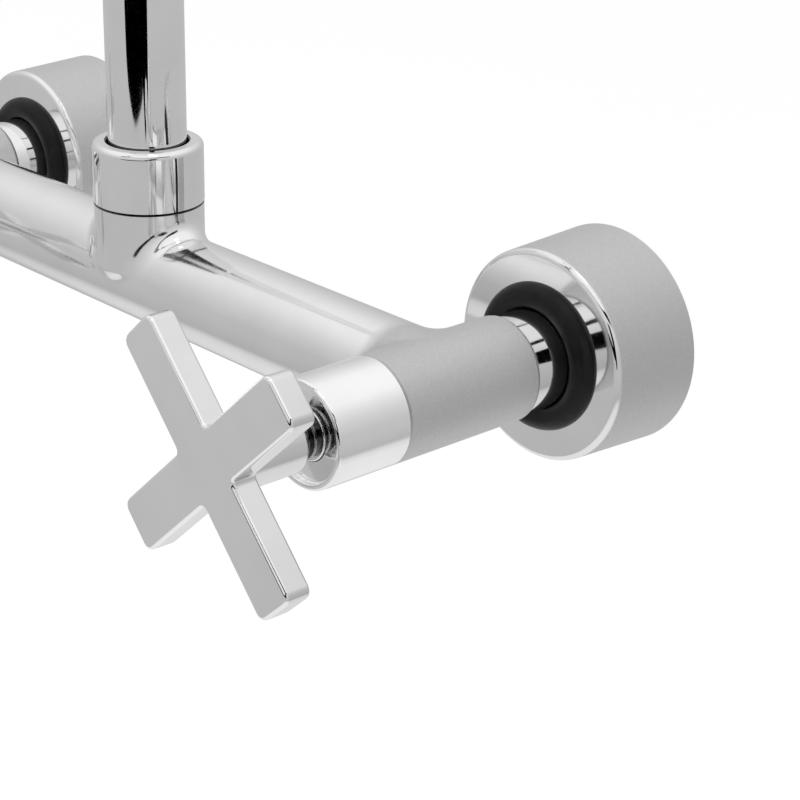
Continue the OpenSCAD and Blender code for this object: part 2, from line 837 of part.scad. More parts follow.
module riser_union() {
    hex_low = -flange_h - union_hex_h;
    skirt_low = hex_low - union_skirt_l;
    color(CHROME)
    at_riser() translate([0, 0, upper_seat])
    difference() {
        union() {
            spring_seat();
            turned_hex(union_hex_af, hex_low, -flange_h + 0.01);
            rod(riser_d / 2 + union_skirt_t, skirt_low, -flange_h - cut);
        }
        rod(tail_d / 2 + thread_gap, hex_low - cut, union_neck_l + cut);
        rod(riser_d / 2 + thread_gap, skirt_low - cut, hex_low);
    }
}

module head_union() {
    neck_low = -flange_h - neck_h;
    hex_low = neck_low - head_hex_h;
    color(CHROME)
    translate([0, head_y, lower_seat])
    difference() {
        union() {
            spring_seat();
            rod(head_neck_d / 2, neck_low - cut, -cut);
            turned_hex(head_hex_af, hex_low, neck_low);
            rod(head_nose_d / 2, hex_low - head_nose_l, hex_low + cut);
        }
        rod(tail_d / 2 + thread_gap, union_neck_l - tail_screw_l - 1, union_neck_l + cut);
        rod(tail_bore_d / 2, hex_low - head_nose_l - cut, union_neck_l);
    }
}

// Threaded hose tail with a plain barb, above a seat at height 0
module hose_tail() {
    difference() {
        union() {
            rod(tail_d / 2, union_neck_l - tail_screw_l, union_neck_l);
            rod(barb_d / 2, union_neck_l - cut, union_neck_l + barb_l);
        }
        rod(tail_bore_d / 2, union_neck_l - tail_screw_l - cut, union_neck_l + barb_l + cut);
    }
}

module hose_tails() {
    color(BRASS) {
        at_riser() translate([0, 0, upper_seat]) hose_tail();
        translate([0, head_y, lower_seat]) hose_tail();
    }
}

module hose_ferrule() {
    base = union_neck_l + 0.2;
    difference() {
        rod(hose_d / 2 + thread_gap + ferrule_t, base, base + barb_l - 1);
        rod(barb_d / 2 + thread_gap, base - cut, base + barb_l);
        rod(hose_d / 2 + thread_gap, base + ferrule_lip, base + barb_l);
    }
}

module hose_ferrules() {
    color(STEEL) {
        at_riser() translate([0, 0, upper_seat]) hose_ferrule();
        translate([0, head_y, lower_seat]) hose_ferrule();
    }
}

hose_stations = concat([hose_start],
    [for (i = [0:hose_bend_steps]) arch_rise + arch_bend * i / hose_bend_steps],
    [arch_l - hose_start]);
hose_line = [for (s = hose_stations) arch_point(s)];
hose_out = [for (s = hose_stations) arch_out(s, 0)];
hose_over = [hose_line[0] - [0, 0, cut], each [for (i = [1:len(hose_line) - 2]) hose_line[i]],
    hose_line[len(hose_line) - 1] - [0, 0, cut]];

module hose() {
    color(RUBBER)
    difference() {
        solid_tube(hose_line, hose_out, hose_d / 2, hose_sides);
        solid_tube(hose_over, hose_out, hose_bore_d / 2, hose_sides);
    }
}

module arch_spring() {
    color(CHROME) solid_tube(spring_line, spring_out, spring_wire_d / 2, wire_sides);
}

// ---- dock ----

module dock_clamp() {
    ear_y = clamp_r + clamp_wall - 1;
    ears_w = ear_gap + 2 * ear_t;
    socket_end = clamp_r + clamp_wall + socket_l;
    color(CHROME)
    at_riser() translate([0, 0, dock_z])
    difference() {
        union() {
            rod(clamp_r + clamp_wall, -clamp_h / 2, clamp_h / 2);
            translate([-ears_w / 2, 0, -clamp_h / 2]) cube([ears_w, ear_y + ear_l, clamp_h]);
            rotate([90, 0, 0]) rod(dock_rod_d / 2 + socket_wall, 0, socket_end);
        }
        rod(clamp_r, -clamp_h, clamp_h);
        translate([-ear_gap / 2, 0, -clamp_h]) cube([ear_gap, ear_y + ear_l + cut, 2 * clamp_h]);
        rotate([90, 0, 0]) rod(dock_rod_d / 2 + thread_gap, rod_foot, socket_end + cut);
        translate([0, ear_y + ear_l / 2, 0]) rotate([0, 90, 0])
        rod(clamp_screw_d / 2 + thread_gap, -ear_t - ear_gap, ear_t + ear_gap);
    }
}

module dock_screw() {
    half = ear_gap / 2 + ear_t;
    color(STEEL)
    at_riser() translate([0, clamp_r + clamp_wall - 1 + ear_l / 2, dock_z]) rotate([0, 90, 0])
    difference() {
        union() {
            rod(clamp_screw_d / 2, -half - 1, half + cut);
            soft_rod(clamp_screw_d * 0.85, half + face_gap, half + clamp_screw_d, 0.6);
        }
        hex_rod(4, half + clamp_screw_d - 2.5, half + clamp_screw_d + cut);
    }
}

module dock_arm() {
    start = rod_foot + face_gap;
    finish = reach - rod_stop - face_gap;
    color(CHROME)
    at_riser() translate([0, 0, dock_z]) rotate([90, 0, 0]) rod(dock_rod_d / 2, start, finish);
}

// A fork open towards the user, with a socket for the rod
module dock_fork() {
    color(CHROME)
    translate([0, head_y, dock_z])
    difference() {
        union() {
            rod(fork_r + fork_wall, -fork_h / 2, fork_h / 2);
            along_y() rod(dock_rod_d / 2 + socket_wall, rod_stop, fork_r + fork_wall + socket_l);
        }
        rod(fork_r, -fork_h, fork_h);
        translate([-fork_r, -2 * fork_r - fork_wall, -fork_h])
        cube([2 * fork_r, 2 * fork_r + fork_wall, 2 * fork_h]);
        along_y() rod(dock_rod_d / 2 + thread_gap, rod_stop, fork_r + fork_wall + socket_l + cut);
    }
}

// ---- spray valve ----

// Lays +Z along +X on the axis of the lever pin
module at_pivot() translate([0, pivot.x, pivot.y]) rotate([0, 90, 0]) children();

// A strip in the plane of the lever, from x = a to x = b
module side_strip(p, w, a, b) {
    translate([a, 0, 0]) rotate([90, 0, 90]) linear_extrude(b - a) strip(p, w);
}

// The lug at +X that carries one end of the lever pin: a boss and a web to the barrel
module pin_lug() {
    inner = lever_w / 2 + lug_gap;
    at_pivot() rod(lug_r, inner, inner + lug_t);
    side_strip([pivot, pivot + [16, 2]], 2 * lug_r - 1, inner + 0.3, inner + lug_t - 0.3);
}

module spray_body() {
    color(CHROME)
    at_head()
    difference() {
        union() {
            rod(grip_tube_d / 2, 0, grip_roof + 1);
            rod(barrel_d / 2, bell_top - cut, barrel_top);
            translate([0, 0, barrel_top])
            cylinder(r1 = barrel_d / 2, r2 = grip_tube_d / 2 + 2, h = grip_floor - barrel_top - 0.5);
            translate([0, 0, bell_rim])
            cylinder(r1 = bell_d / 2, r2 = barrel_d / 2, h = bell_top - bell_rim);
            rod(bell_d / 2, bell_foot, bell_rim);
            along_y() rod(boss_r, -boss_front, 0);
            for (side = [0, 1]) {
                mirror([side, 0, 0]) pin_lug();
            }
        }
        rod(water_r, chamber_back, grip_roof + 2);
        rod(head_nose_d / 2 + thread_gap, grip_roof - head_nose_l - 1, grip_roof + 2);
        translate([0, inlet_port_y, 0]) rod(inlet_port_r, 0, chamber_back + 4);
        along_y() rod(chamber_r, -boss_front - cut, chamber_back);
        translate([0, outlet_port_y, 0]) rod(outlet_port_r, bell_rim, 0);
        difference() {
            rod(face_r - 2, face_z + face_t - cut, bell_rim + 4);
            rod(water_r, bell_foot, bell_rim + 5);
        }
        rod(face_screw_d / 2 + thread_gap, face_z, bell_rim + 3.5);
        rod(face_r + 0.1, bell_foot - cut, face_z + face_t);
        at_pivot() rod(lever_pin_d / 2 + thread_gap, -lever_w, lever_w);
    }
}

module grip() {
    soft = 2;
    color(RUBBER)
    at_head()
    difference() {
        union() {
            soft_rod(grip_d / 2, grip_floor + grip_l / 2, grip_roof, soft);
            translate([0, 0, 2 * grip_floor + grip_l]) mirror([0, 0, 1])
            soft_rod(grip_d / 2, grip_floor + grip_l / 2, grip_roof, soft);
        }
        rod(grip_tube_d / 2 + thread_gap, grip_floor - cut, grip_roof + cut);
    }
}

module valve_seat() {
    color(BRASS) at_head() along_y()
    ring(chamber_r - thread_gap, water_r, valve_seat_y[0], valve_seat_y[1]);
}

module packing_nut() {
    color(CHROME)
    at_head() rotate([90, 0, 0])
    difference() {
        union() {
            rod(chamber_r - thread_gap, nut_inner, boss_front + cut);
            turned_hex(nut_hex_af, boss_front + face_gap, nut_outer);
        }
        rod(plunger_d / 2 + running_gap, nut_inner - cut, nut_outer + cut);
    }
}

module valve_plunger() {
    color(STEEL)
    at_head() along_y() {
        translate([0, 0, plunger_tip])
        cylinder(r1 = plunger_d / 2 - tip_edge, r2 = plunger_d / 2, h = tip_edge);
        rod(plunger_d / 2, plunger_tip + tip_edge, poppet_front + cut);
        rod(poppet_r, poppet_front, poppet_back - face_gap);
    }
}

module seat_washer() {
    color(RUBBER)
    at_head() along_y() ring(poppet_r - 0.2, plunger_d / 2 + 0.02, washer_front, poppet_front - 0.02);
}

module return_spring() {
    color(STEEL) at_head() solid_tube(return_line, return_out, return_wire_d / 2, wire_sides);
}

module spray_face() {
    color(STEEL)
    at_head()
    difference() {
        rod(face_r, face_z, face_z + face_t - face_gap);
        rod(face_screw_d / 2 + 0.2, face_z - cut, face_z + face_t);
        for (row = [0:1], hole = [0:face_holes - 1]) {
            rotate([0, 0, 360 * (hole + row / 2) / face_holes])
            translate([face_r * (0.78 - 0.28 * row), 0, 0]) rod(0.9, face_z - cut, face_z + face_t);
        }
    }
}

module face_screw() {
    color(STEEL)
    at_head()
    difference() {
        union() {
            rod(face_screw_d / 2, face_z - 0.2, bell_rim + 3);
            rod(face_screw_d, face_z - 1.4, face_z - face_gap);
        }
        hex_rod(face_screw_d * 0.6, face_z - 2, face_z + 1);
    }
}

module bumper_ring() {
    r_in = bell_d / 2 + face_gap;
    lip_in = face_r + 0.6;
    color(RUBBER)
    at_head()
    rotate_extrude() {
        translate([r_in, bell_foot - bumper_lip]) square([bumper_t, bumper_h]);
        translate([r_in + bumper_t, bell_foot - bumper_lip + bumper_h / 2])
        scale([bumper_bulge, bumper_h / 2])
        intersection() {
            circle(1);
            translate([0, -1]) square([1, 2]);
        }
        translate([lip_in, bell_foot - bumper_lip])
        square([r_in + bumper_t / 2 - lip_in, bumper_lip - face_gap]);
    }
}

module lever_pin() {
    half = lever_w / 2 + lug_gap + lug_t;
    color(STEEL)
    at_head() at_pivot() rod(lever_pin_d / 2, -half - 0.5, half + 0.5);
}

module spray_lever() {
    elbow = [lever_line, pivot.y + 12];
    top = [lever_line, pivot.y + lever_l - 12];
    tip = [lever_line - 4, pivot.y + lever_l];
    color(CHROME)
    at_head()
    difference() {
        union() {
            at_pivot() rod(knuckle_r, -lever_w / 2 - knuckle_land, lever_w / 2 + knuckle_land);
            side_strip([pivot, elbow, top, tip], lever_t, -lever_w / 2, lever_w / 2);
        }
        at_pivot() rod(lever_pin_d / 2 + running_gap, -lever_w, lever_w);
    }
}

bridge_body();
hot_side() inlet_shank();  // hot_inlet_shank
cold_side() inlet_shank();  // cold_inlet_shank
hot_side() filter_washer();  // hot_filter_washer
cold_side() filter_washer();  // cold_filter_washer
hot_side() union_nut();  // hot_union_nut
cold_side() union_nut();  // cold_union_nut
hot_side() inlet_tail();  // hot_inlet_tail
cold_side() inlet_tail();  // cold_inlet_tail
hot_side() wall_shroud();  // hot_wall_shroud
cold_side() wall_shroud();  // cold_wall_shroud
hot_side() shroud_ring();  // hot_shroud_ring
cold_side() shroud_ring();  // cold_shroud_ring
hot_side() valve_sleeve();  // hot_valve_sleeve
cold_side() valve_sleeve();  // cold_valve_sleeve
hot_side() cartridge();  // hot_cartridge
cold_side() cartridge();  // cold_cartridge
hot_side() seat_seal();  // hot_seat_seal
cold_side() seat_seal();  // cold_seat_seal
hot_side() fixed_disc();  // hot_fixed_disc
cold_side() fixed_disc();  // cold_fixed_disc
at_riser() riser_collar();
hot_side() handle();  // hot_handle
hot_side() stem();  // hot_stem
hot_side() moving_disc();  // hot_moving_disc
hot_side() stem_seals();  // hot_stem_seals
hot_side() set_screw();  // hot_set_screw
cold_side() handle();  // cold_handle
cold_side() stem();  // cold_stem
cold_side() moving_disc();  // cold_moving_disc
cold_side() stem_seals();  // cold_stem_seals
cold_side() set_screw();  // cold_set_screw
at_riser() swivel_spigot();
at_riser() riser_seals();
at_riser() swivel_washer();
at_riser() riser_tube();
riser_union();
head_union();
hose_tails();
hose_ferrules();
hose();
arch_spring();
dock_clamp();
dock_screw();
dock_arm();
dock_fork();
spray_body();
grip();
valve_seat();
packing_nut();
spray_face();
face_screw();
bumper_ring();
lever_pin();
return_spring();
spray_lever();
valve_plunger();
seat_washer();
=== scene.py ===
import math

import bmesh
import bpy
import numpy as np
from mathutils import Matrix, Vector

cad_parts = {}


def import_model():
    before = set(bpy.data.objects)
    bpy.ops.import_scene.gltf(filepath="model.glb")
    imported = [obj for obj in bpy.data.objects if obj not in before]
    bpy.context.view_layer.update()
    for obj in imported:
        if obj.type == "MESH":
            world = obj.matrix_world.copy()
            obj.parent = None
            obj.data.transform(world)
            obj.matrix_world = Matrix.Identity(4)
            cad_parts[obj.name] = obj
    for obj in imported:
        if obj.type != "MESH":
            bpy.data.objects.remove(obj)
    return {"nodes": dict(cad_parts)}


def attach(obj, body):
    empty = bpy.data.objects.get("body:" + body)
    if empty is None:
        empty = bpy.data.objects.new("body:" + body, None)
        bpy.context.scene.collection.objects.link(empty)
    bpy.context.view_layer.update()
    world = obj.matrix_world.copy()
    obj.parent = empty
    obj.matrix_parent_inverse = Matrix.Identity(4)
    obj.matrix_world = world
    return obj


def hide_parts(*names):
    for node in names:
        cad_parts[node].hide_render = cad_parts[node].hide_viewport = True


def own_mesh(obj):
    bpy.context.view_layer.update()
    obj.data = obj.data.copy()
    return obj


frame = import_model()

bpy.context.view_layer.update()

MM = 0.001
TAU = 2 * math.pi

# Sizes of the CAD part, in millimetres. A distance along an arm is counted from the wall
INLET_X = 101.6      # half the distance between the inlets
BRIDGE_Y = -56.0     # the bridge's axis and the riser's
HEAD_Y = -246.0      # the spray valve's axis
VALVE_Z = 209.0      # the height of its plunger
TUBE_R = 12.1
BOSS_R = 13.4
BOSS_TOP = 18.4
ARM_REAR = 34.8
ARM_EDGE = 1.2
ARM_FRONT = 73.2
SLEEVE_FRONT = 92.9
STEM_BORE_R = 4.05
CARTRIDGE_SHOULDER = 86.05
SEAM = 0.3           # the chamfer at a joint between two castings
HANDLE_ANGLE = math.radians(42.7)


# ---------------------------------------------------------------- materials

class Graph:
    """A material's node tree, with short calls for the nodes that the finishes use."""

    def __init__(self, name):
        self.material = bpy.data.materials.new(name)
        self.material.use_nodes = True
        self.tree = self.material.node_tree
        self.bsdf = self.tree.nodes["Principled BSDF"]
        self.coords = self.tree.nodes.new("ShaderNodeTexCoord").outputs["Object"]

    def node(self, kind, **values):
        """A new node of a kind, with its settings."""
        made = self.tree.nodes.new(kind)
        for key, value in values.items():
            setattr(made, key, value)
        return made

    def link(self, a, b):
        self.tree.links.new(a, b)

    def noise(self, scale, detail=2.0, roughness=0.5):
        """Noise in the object's own coordinates."""
        made = self.node("ShaderNodeTexNoise")
        made.inputs["Scale"].default_value = scale
        made.inputs["Detail"].default_value = detail
        made.inputs["Roughness"].default_value = roughness
        self.link(self.coords, made.inputs["Vector"])
        return made.outputs["Fac"]

    def ramp(self, value, low, high, start=0.35, end=0.65):
        """A colour that goes from low to high as value goes from start to end."""
        made = self.node("ShaderNodeValToRGB")
        made.color_ramp.elements[0].position = start
        made.color_ramp.elements[1].position = end
        made.color_ramp.elements[0].color = (*low, 1)
        made.color_ramp.elements[1].color = (*high, 1)
        self.link(value, made.inputs["Fac"])
        return made.outputs["Color"]

    def spread(self, value, low, high, start=0.3, end=0.7):
        """A number that goes from low to high as value goes from start to end."""
        made = self.node("ShaderNodeMapRange")
        made.inputs["From Min"].default_value = start
        made.inputs["From Max"].default_value = end
        made.inputs["To Min"].default_value = low
        made.inputs["To Max"].default_value = high
        self.link(value, made.inputs["Value"])
        return made.outputs["Result"]

    def mix(self, factor, first, second, kind):
        """first where factor is 0, second where it is 1; kind is RGBA or FLOAT."""
        made = self.node("ShaderNodeMix", data_type=kind)
        sockets = [i for i in made.inputs if i.enabled]
        self.link(factor, sockets[0])
        self.link(first, sockets[1])
        self.link(second, sockets[2])
        return next(o for o in made.outputs if o.enabled)

    def bump(self, height, distance, strength=1.0, under=None):
        """A bump of height times distance, in metres, over the bump that is under it."""
        made = self.node("ShaderNodeBump")
        made.inputs["Strength"].default_value = strength
        made.inputs["Distance"].default_value = distance
        self.link(height, made.inputs["Height"])
        if under is not None:
            self.link(under, made.inputs["Normal"])
        return made.outputs["Normal"]


def metal(name, dark, light, rough, patch=70, grain=2600, grain_depth=2e-7, wave_depth=4e-6, satin=None):
    """Plated or bare metal: patchy tone, smudged roughness, a faint waviness and a fine grain.

    satin gives the places that are brushed instead of polished."""
    g = Graph(name)
    g.bsdf.inputs["Metallic"].default_value = 1.0
    tone = g.ramp(g.noise(patch, 3.0, 0.55), dark, light)
    roughness = g.spread(g.noise(patch * 5, 4.0, 0.6), *rough)
    wave = g.bump(g.noise(patch * 1.7, 1.0), wave_depth, 0.4)
    grain_height = g.noise(grain, 2.0)
    if satin is not None:
        place = satin(g)
        tone = g.mix(place, tone, g.ramp(g.noise(3200, 2.0), *SATIN_TONE), "RGBA")
        roughness = g.mix(place, roughness, g.spread(g.noise(900, 2.0), *SATIN_ROUGH), "FLOAT")
    g.link(tone, g.bsdf.inputs["Base Color"])
    g.link(roughness, g.bsdf.inputs["Roughness"])
    g.link(g.bump(grain_height, grain_depth, 0.5, wave), g.bsdf.inputs["Normal"])
    return g.material


def part_of_place(g, axis):
    """The coordinate of a surface point along one axis, in metres."""
    parts = g.node("ShaderNodeSeparateXYZ")
    g.link(g.coords, parts.inputs[0])
    return parts.outputs[axis]


def arm_places(g):
    """1 on the two valve arms of the casting, 0 on its bridge tube and boss."""
    across = g.node("ShaderNodeMath", operation="ABSOLUTE")
    g.link(part_of_place(g, "X"), across.inputs[0])
    return g.spread(across.outputs[0], 0.0, 1.0, 0.0875, 0.0915)


def shroud_side_places(g):
    """1 on the side of a wall shroud, 0 on its front edge and face."""
    return g.spread(part_of_place(g, "Y"), 0.0, 1.0, -0.0232, -0.0226)


def rubber(name, dark, light, rough=(0.45, 0.6), grain=1400, depth=2e-5, specular=0.4):
    """Black rubber with a blotchy, grained skin."""
    g = Graph(name)
    g.bsdf.inputs["Specular IOR Level"].default_value = specular
    g.link(g.ramp(g.noise(350, 4.0, 0.6), dark, light), g.bsdf.inputs["Base Color"])
    g.link(g.spread(g.noise(160, 3.0), *rough), g.bsdf.inputs["Roughness"])
    g.link(g.bump(g.noise(grain, 3.0, 0.7), depth, 0.5), g.bsdf.inputs["Normal"])
    return g.material


def moulded(name, dark, light, rough):
    """Fired or moulded material: fine patches and a fine grain."""
    g = Graph(name)
    g.bsdf.inputs["Specular IOR Level"].default_value = 0.5
    g.link(g.ramp(g.noise(220, 3.0), dark, light), g.bsdf.inputs["Base Color"])
    g.link(g.spread(g.noise(300, 2.0), *rough), g.bsdf.inputs["Roughness"])
    g.link(g.bump(g.noise(900, 2.0), 4e-6, 0.5), g.bsdf.inputs["Normal"])
    return g.material


def grey(level, blue=0.0):
    """A grey, or one with a little more blue."""
    return level, level, level + blue


# Castings are a little rougher and wavier than turned parts
CAST = {"patch": 60, "grain": 1800, "grain_depth": 4e-7, "wave_depth": 8e-6}
SATIN_TONE = (grey(0.61), grey(0.67))
SATIN_ROUGH = (0.55, 0.62)
MATERIALS = {
    "chrome": metal("chrome_plate", grey(0.84), grey(0.88, 0.008), (0.035, 0.06)),
    "cast_chrome": metal("chrome_on_casting", grey(0.83), grey(0.87, 0.008), (0.08, 0.13), **CAST),
    "arm_chrome": metal("polished_and_satin_casting", grey(0.83), grey(0.87, 0.008), (0.08, 0.13), **CAST,
                        satin=arm_places),
    "shroud_chrome": metal("polished_and_satin_plate", grey(0.84), grey(0.88, 0.008), (0.05, 0.08),
                           satin=shroud_side_places),
    "bright_chrome": metal("bright_chrome", grey(0.91), grey(0.95), (0.05, 0.09), wave_depth=5e-5),
    "handle_chrome": metal("handle_chrome", grey(0.91), grey(0.95, 0.006), (0.07, 0.11), **CAST),
    # The handle's sides and hub are a darker copy of its chrome: painted shade.
    "handle_side": metal("handle_side_chrome", grey(0.74), grey(0.79, 0.006), (0.09, 0.14), **CAST),
    # neck_metal is near black: painted shade, used in the seams between parts and in the cartridge neck's
    # thread roots.
    "neck_metal": metal("neck_metal", grey(0.05), grey(0.10), (0.12, 0.25), patch=160),
    "ridge_metal": metal("ridge_metal", grey(0.30), grey(0.42), (0.12, 0.22), patch=160),
    "spring_steel": metal("spring_chrome", grey(0.72), grey(0.80), (0.09, 0.16), patch=120),
    "steel": metal("stainless_steel", grey(0.36), grey(0.44), (0.18, 0.3), patch=140, grain=3200,
                   grain_depth=8e-7),
    "brass": metal("brass", (0.50, 0.34, 0.12), (0.62, 0.45, 0.18), (0.16, 0.3), patch=110, grain=2800,
                   grain_depth=8e-7),
    "rubber": rubber("black_rubber", grey(0.003), grey(0.007), (0.32, 0.45), depth=1e-5, specular=0.22),
    "hose_rubber": rubber("hose_rubber", grey(0.010), grey(0.022), (0.4, 0.55)),
    "grip_rubber": rubber("grip_rubber", grey(0.012), grey(0.024), (0.5, 0.68), grain=900, depth=6e-5),
    "ceramic": moulded("ceramic", (0.80, 0.78, 0.72), (0.88, 0.86, 0.81), (0.12, 0.2)),
    "nylon": moulded("nylon", (0.72, 0.72, 0.68), (0.80, 0.80, 0.76), (0.35, 0.45)),
}
for node in frame["nodes"].values():
    for index, used in enumerate(node.data.materials):
        node.data.materials[index] = MATERIALS[used.name.split(".")[0]]


# ---------------------------------------------------------------- shapes

class Axis:
    """A line through a point, and the two directions across it that turned shapes are built on."""

    def __init__(self, origin, along, side):
        self.origin, self.along, self.u = (np.array(v, float) for v in (origin, along, side))
        self.v = np.cross(self.along, self.u)

    def at(self, r, s, turn):
        """The point at radius r, height s and angle turn."""
        r, s, turn = np.broadcast_arrays(r, s, turn)
        return (self.origin + s[..., None] * self.along
                + (r * np.cos(turn))[..., None] * self.u + (r * np.sin(turn))[..., None] * self.v)


SIDES = {"hot": -1, "cold": 1}
ARM = {side: Axis((x * INLET_X, 0, 0), (0, -1, 0), (1, 0, 0)) for side, x in SIDES.items()}
RISER = Axis((0, BRIDGE_Y, 0), (0, 0, 1), (1, 0, 0))
HEAD = Axis((0, HEAD_Y, VALVE_Z), (0, 0, 1), (1, 0, 0))
PLUNGER = Axis((0, HEAD_Y, VALVE_Z), (0, 1, 0), (1, 0, 0))


def soft(corners, steps=6):
    """A closed outline through corners (x, y, radius), rounded at each by its radius."""
    outline = []
    for i, corner in enumerate(corners):
        p = np.array(corner[:2], float)
        radius = corner[2] if len(corner) > 2 else 0
        if radius <= 0:
            outline.append(p)
            continue
        a = np.array(corners[i - 1][:2], float) - p
        b = np.array(corners[(i + 1) % len(corners)][:2], float) - p
        la, lb = np.linalg.norm(a), np.linalg.norm(b)
        a, b = a / la, b / lb
        half = math.acos(max(-1.0, min(1.0, float(a @ b)))) / 2
        run = min(radius / math.tan(half), 0.49 * la, 0.49 * lb)
        radius = run * math.tan(half)
        centre = p + (a + b) / np.linalg.norm(a + b) * radius / math.sin(half)
        first, last = p + a * run - centre, p + b * run - centre
        sweep = math.pi - 2 * half
        for k in range(steps + 1):
            t = k / steps
            outline.append(centre + (math.sin((1 - t) * sweep) * first + math.sin(t * sweep) * last)
                           / math.sin(sweep))
    return np.array(outline)


def turned(axis, profile, segments=128):
    """A closed profile of (radius, height) points turned round an axis."""
    profile = np.asarray(profile, float)
    n = len(profile)
    turn = TAU * np.arange(segments) / segments
    points = axis.at(profile[:, :1], profile[:, 1:2], turn[None, :]).reshape(-1, 3)
    faces = []
    for i in range(n):
        a, b = i * segments, (i + 1) % n * segments
        faces += [(a + k, a + (k + 1) % segments, b + (k + 1) % segments, b + k) for k in range(segments)]
    return points, faces


def tube(points, outward, radius, sides, bore=0.0):
    """A tube through points; outward holds one direction across the tube for each point."""
    points, outward = np.asarray(points, float), np.asarray(outward, float)
    ahead = np.roll(points, -1, 0) - np.roll(points, 1, 0)
    ahead[0], ahead[-1] = points[1] - points[0], points[-1] - points[-2]
    ahead /= np.linalg.norm(ahead, axis=1)[:, None]
    b = np.cross(ahead, outward)
    b /= np.linalg.norm(b, axis=1)[:, None]
    a = np.cross(b, ahead)
    turn = TAU * np.arange(sides) / sides
    across = np.cos(turn)[None, :, None] * a[:, None] + np.sin(turn)[None, :, None] * b[:, None]
    n = len(points)
    walls = [points[:, None] + r * across for r in ((radius, bore) if bore else (radius,))]
    faces = []
    for wall in range(len(walls)):
        for i in range(n - 1):
            p = (wall * n + i) * sides
            q = p + sides
            faces += [(p + k, p + (k + 1) % sides, q + (k + 1) % sides, q + k) for k in range(sides)]
    for end in (0, n - 1):
        p, q = end * sides, (n + end) * sides
        if bore:
            faces += [(p + k, p + (k + 1) % sides, q + (k + 1) % sides, q + k) for k in range(sides)]
        else:
            faces.append(tuple(range(p, p + sides)))
    return np.concatenate([w.reshape(-1, 3) for w in walls]), faces


def prism(outline, height, edge, place, steps=5):
    """An outline raised from height[0] to height[1], its rims rounded by edge.

    place maps its points into the frame."""
    outline = np.asarray(outline, float)
    following = np.roll(outline, -1, 0)
    if np.sum(outline[:, 0] * following[:, 1] - following[:, 0] * outline[:, 1]) < 0:
        outline = outline[::-1]
    ahead = np.roll(outline, -1, 0) - outline
    ahead /= np.linalg.norm(ahead, axis=1)[:, None]
    normal = np.stack([-ahead[:, 1], ahead[:, 0]], 1)
    inward = normal + np.roll(normal, 1, 0)
    inward *= (2 / np.sum(inward * inward, 1))[:, None]
    low, high = height
    rings = []
    for k in range(steps + 1):
        t = math.pi / 2 * k / steps
        rings.append((edge * (1 - math.sin(t)), low + edge * (1 - math.cos(t))))
    rings += [(inset, low + high - z) for inset, z in rings[::-1]]
    n = len(outline)
    points, faces = [], []
    for inset, z in rings:
        flat = outline + inward * inset
        points.append(place(np.column_stack([flat, np.full(n, z)])))
    for i in range(len(rings) - 1):
        a, b = i * n, (i + 1) * n
        faces += [(a + k, a + (k + 1) % n, b + (k + 1) % n, b + k) for k in range(n)]
    faces += [tuple(range(n))[::-1], tuple(range((len(rings) - 1) * n, len(rings) * n))]
    return np.concatenate(points), faces


def settle(obj, material, body, replaced):
    """Gives a piece its material, body, slot and the CAD nodes that it stands for."""
    obj.data.materials.append(MATERIALS[material])
    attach(obj, body)
    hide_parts(*replaced)


def piece(name, shapes, material, body, replaced, sharp=40, second=None):
    """One object from closed shapes, each a pair of points in millimetres and faces.

    second is a material and the test of a face's centre, in millimetres, that says where it goes."""
    mesh = bpy.data.meshes.new(name)
    points, faces, base = [], [], 0
    for p, f in shapes:
        points.append(np.asarray(p) * MM)
        faces += [tuple(i + base for i in face) for face in f]
        base += len(p)
    mesh.from_pydata(np.concatenate(points).tolist(), [], faces)
    bm = bmesh.new()
    bm.from_mesh(mesh)
    bmesh.ops.remove_doubles(bm, verts=bm.verts, dist=1e-8)
    bmesh.ops.recalc_face_normals(bm, faces=bm.faces)
    bm.to_mesh(mesh)
    bm.free()
    mesh.shade_smooth()
    mesh.set_sharp_from_angle(angle=math.radians(sharp))
    obj = bpy.data.objects.new(name, mesh)
    bpy.context.scene.collection.objects.link(obj)
    weigh = obj.modifiers.new("even_faces", "WEIGHTED_NORMAL")
    weigh.keep_sharp = True
    weigh.weight = 80
    settle(obj, material, body, replaced)
    if second is not None:
        mesh.materials.append(MATERIALS[second[0]])
        for face in mesh.polygons:
            face.material_index = int(second[1](face.center / MM))
    return obj


# ---------------------------------------------------------------- blended castings

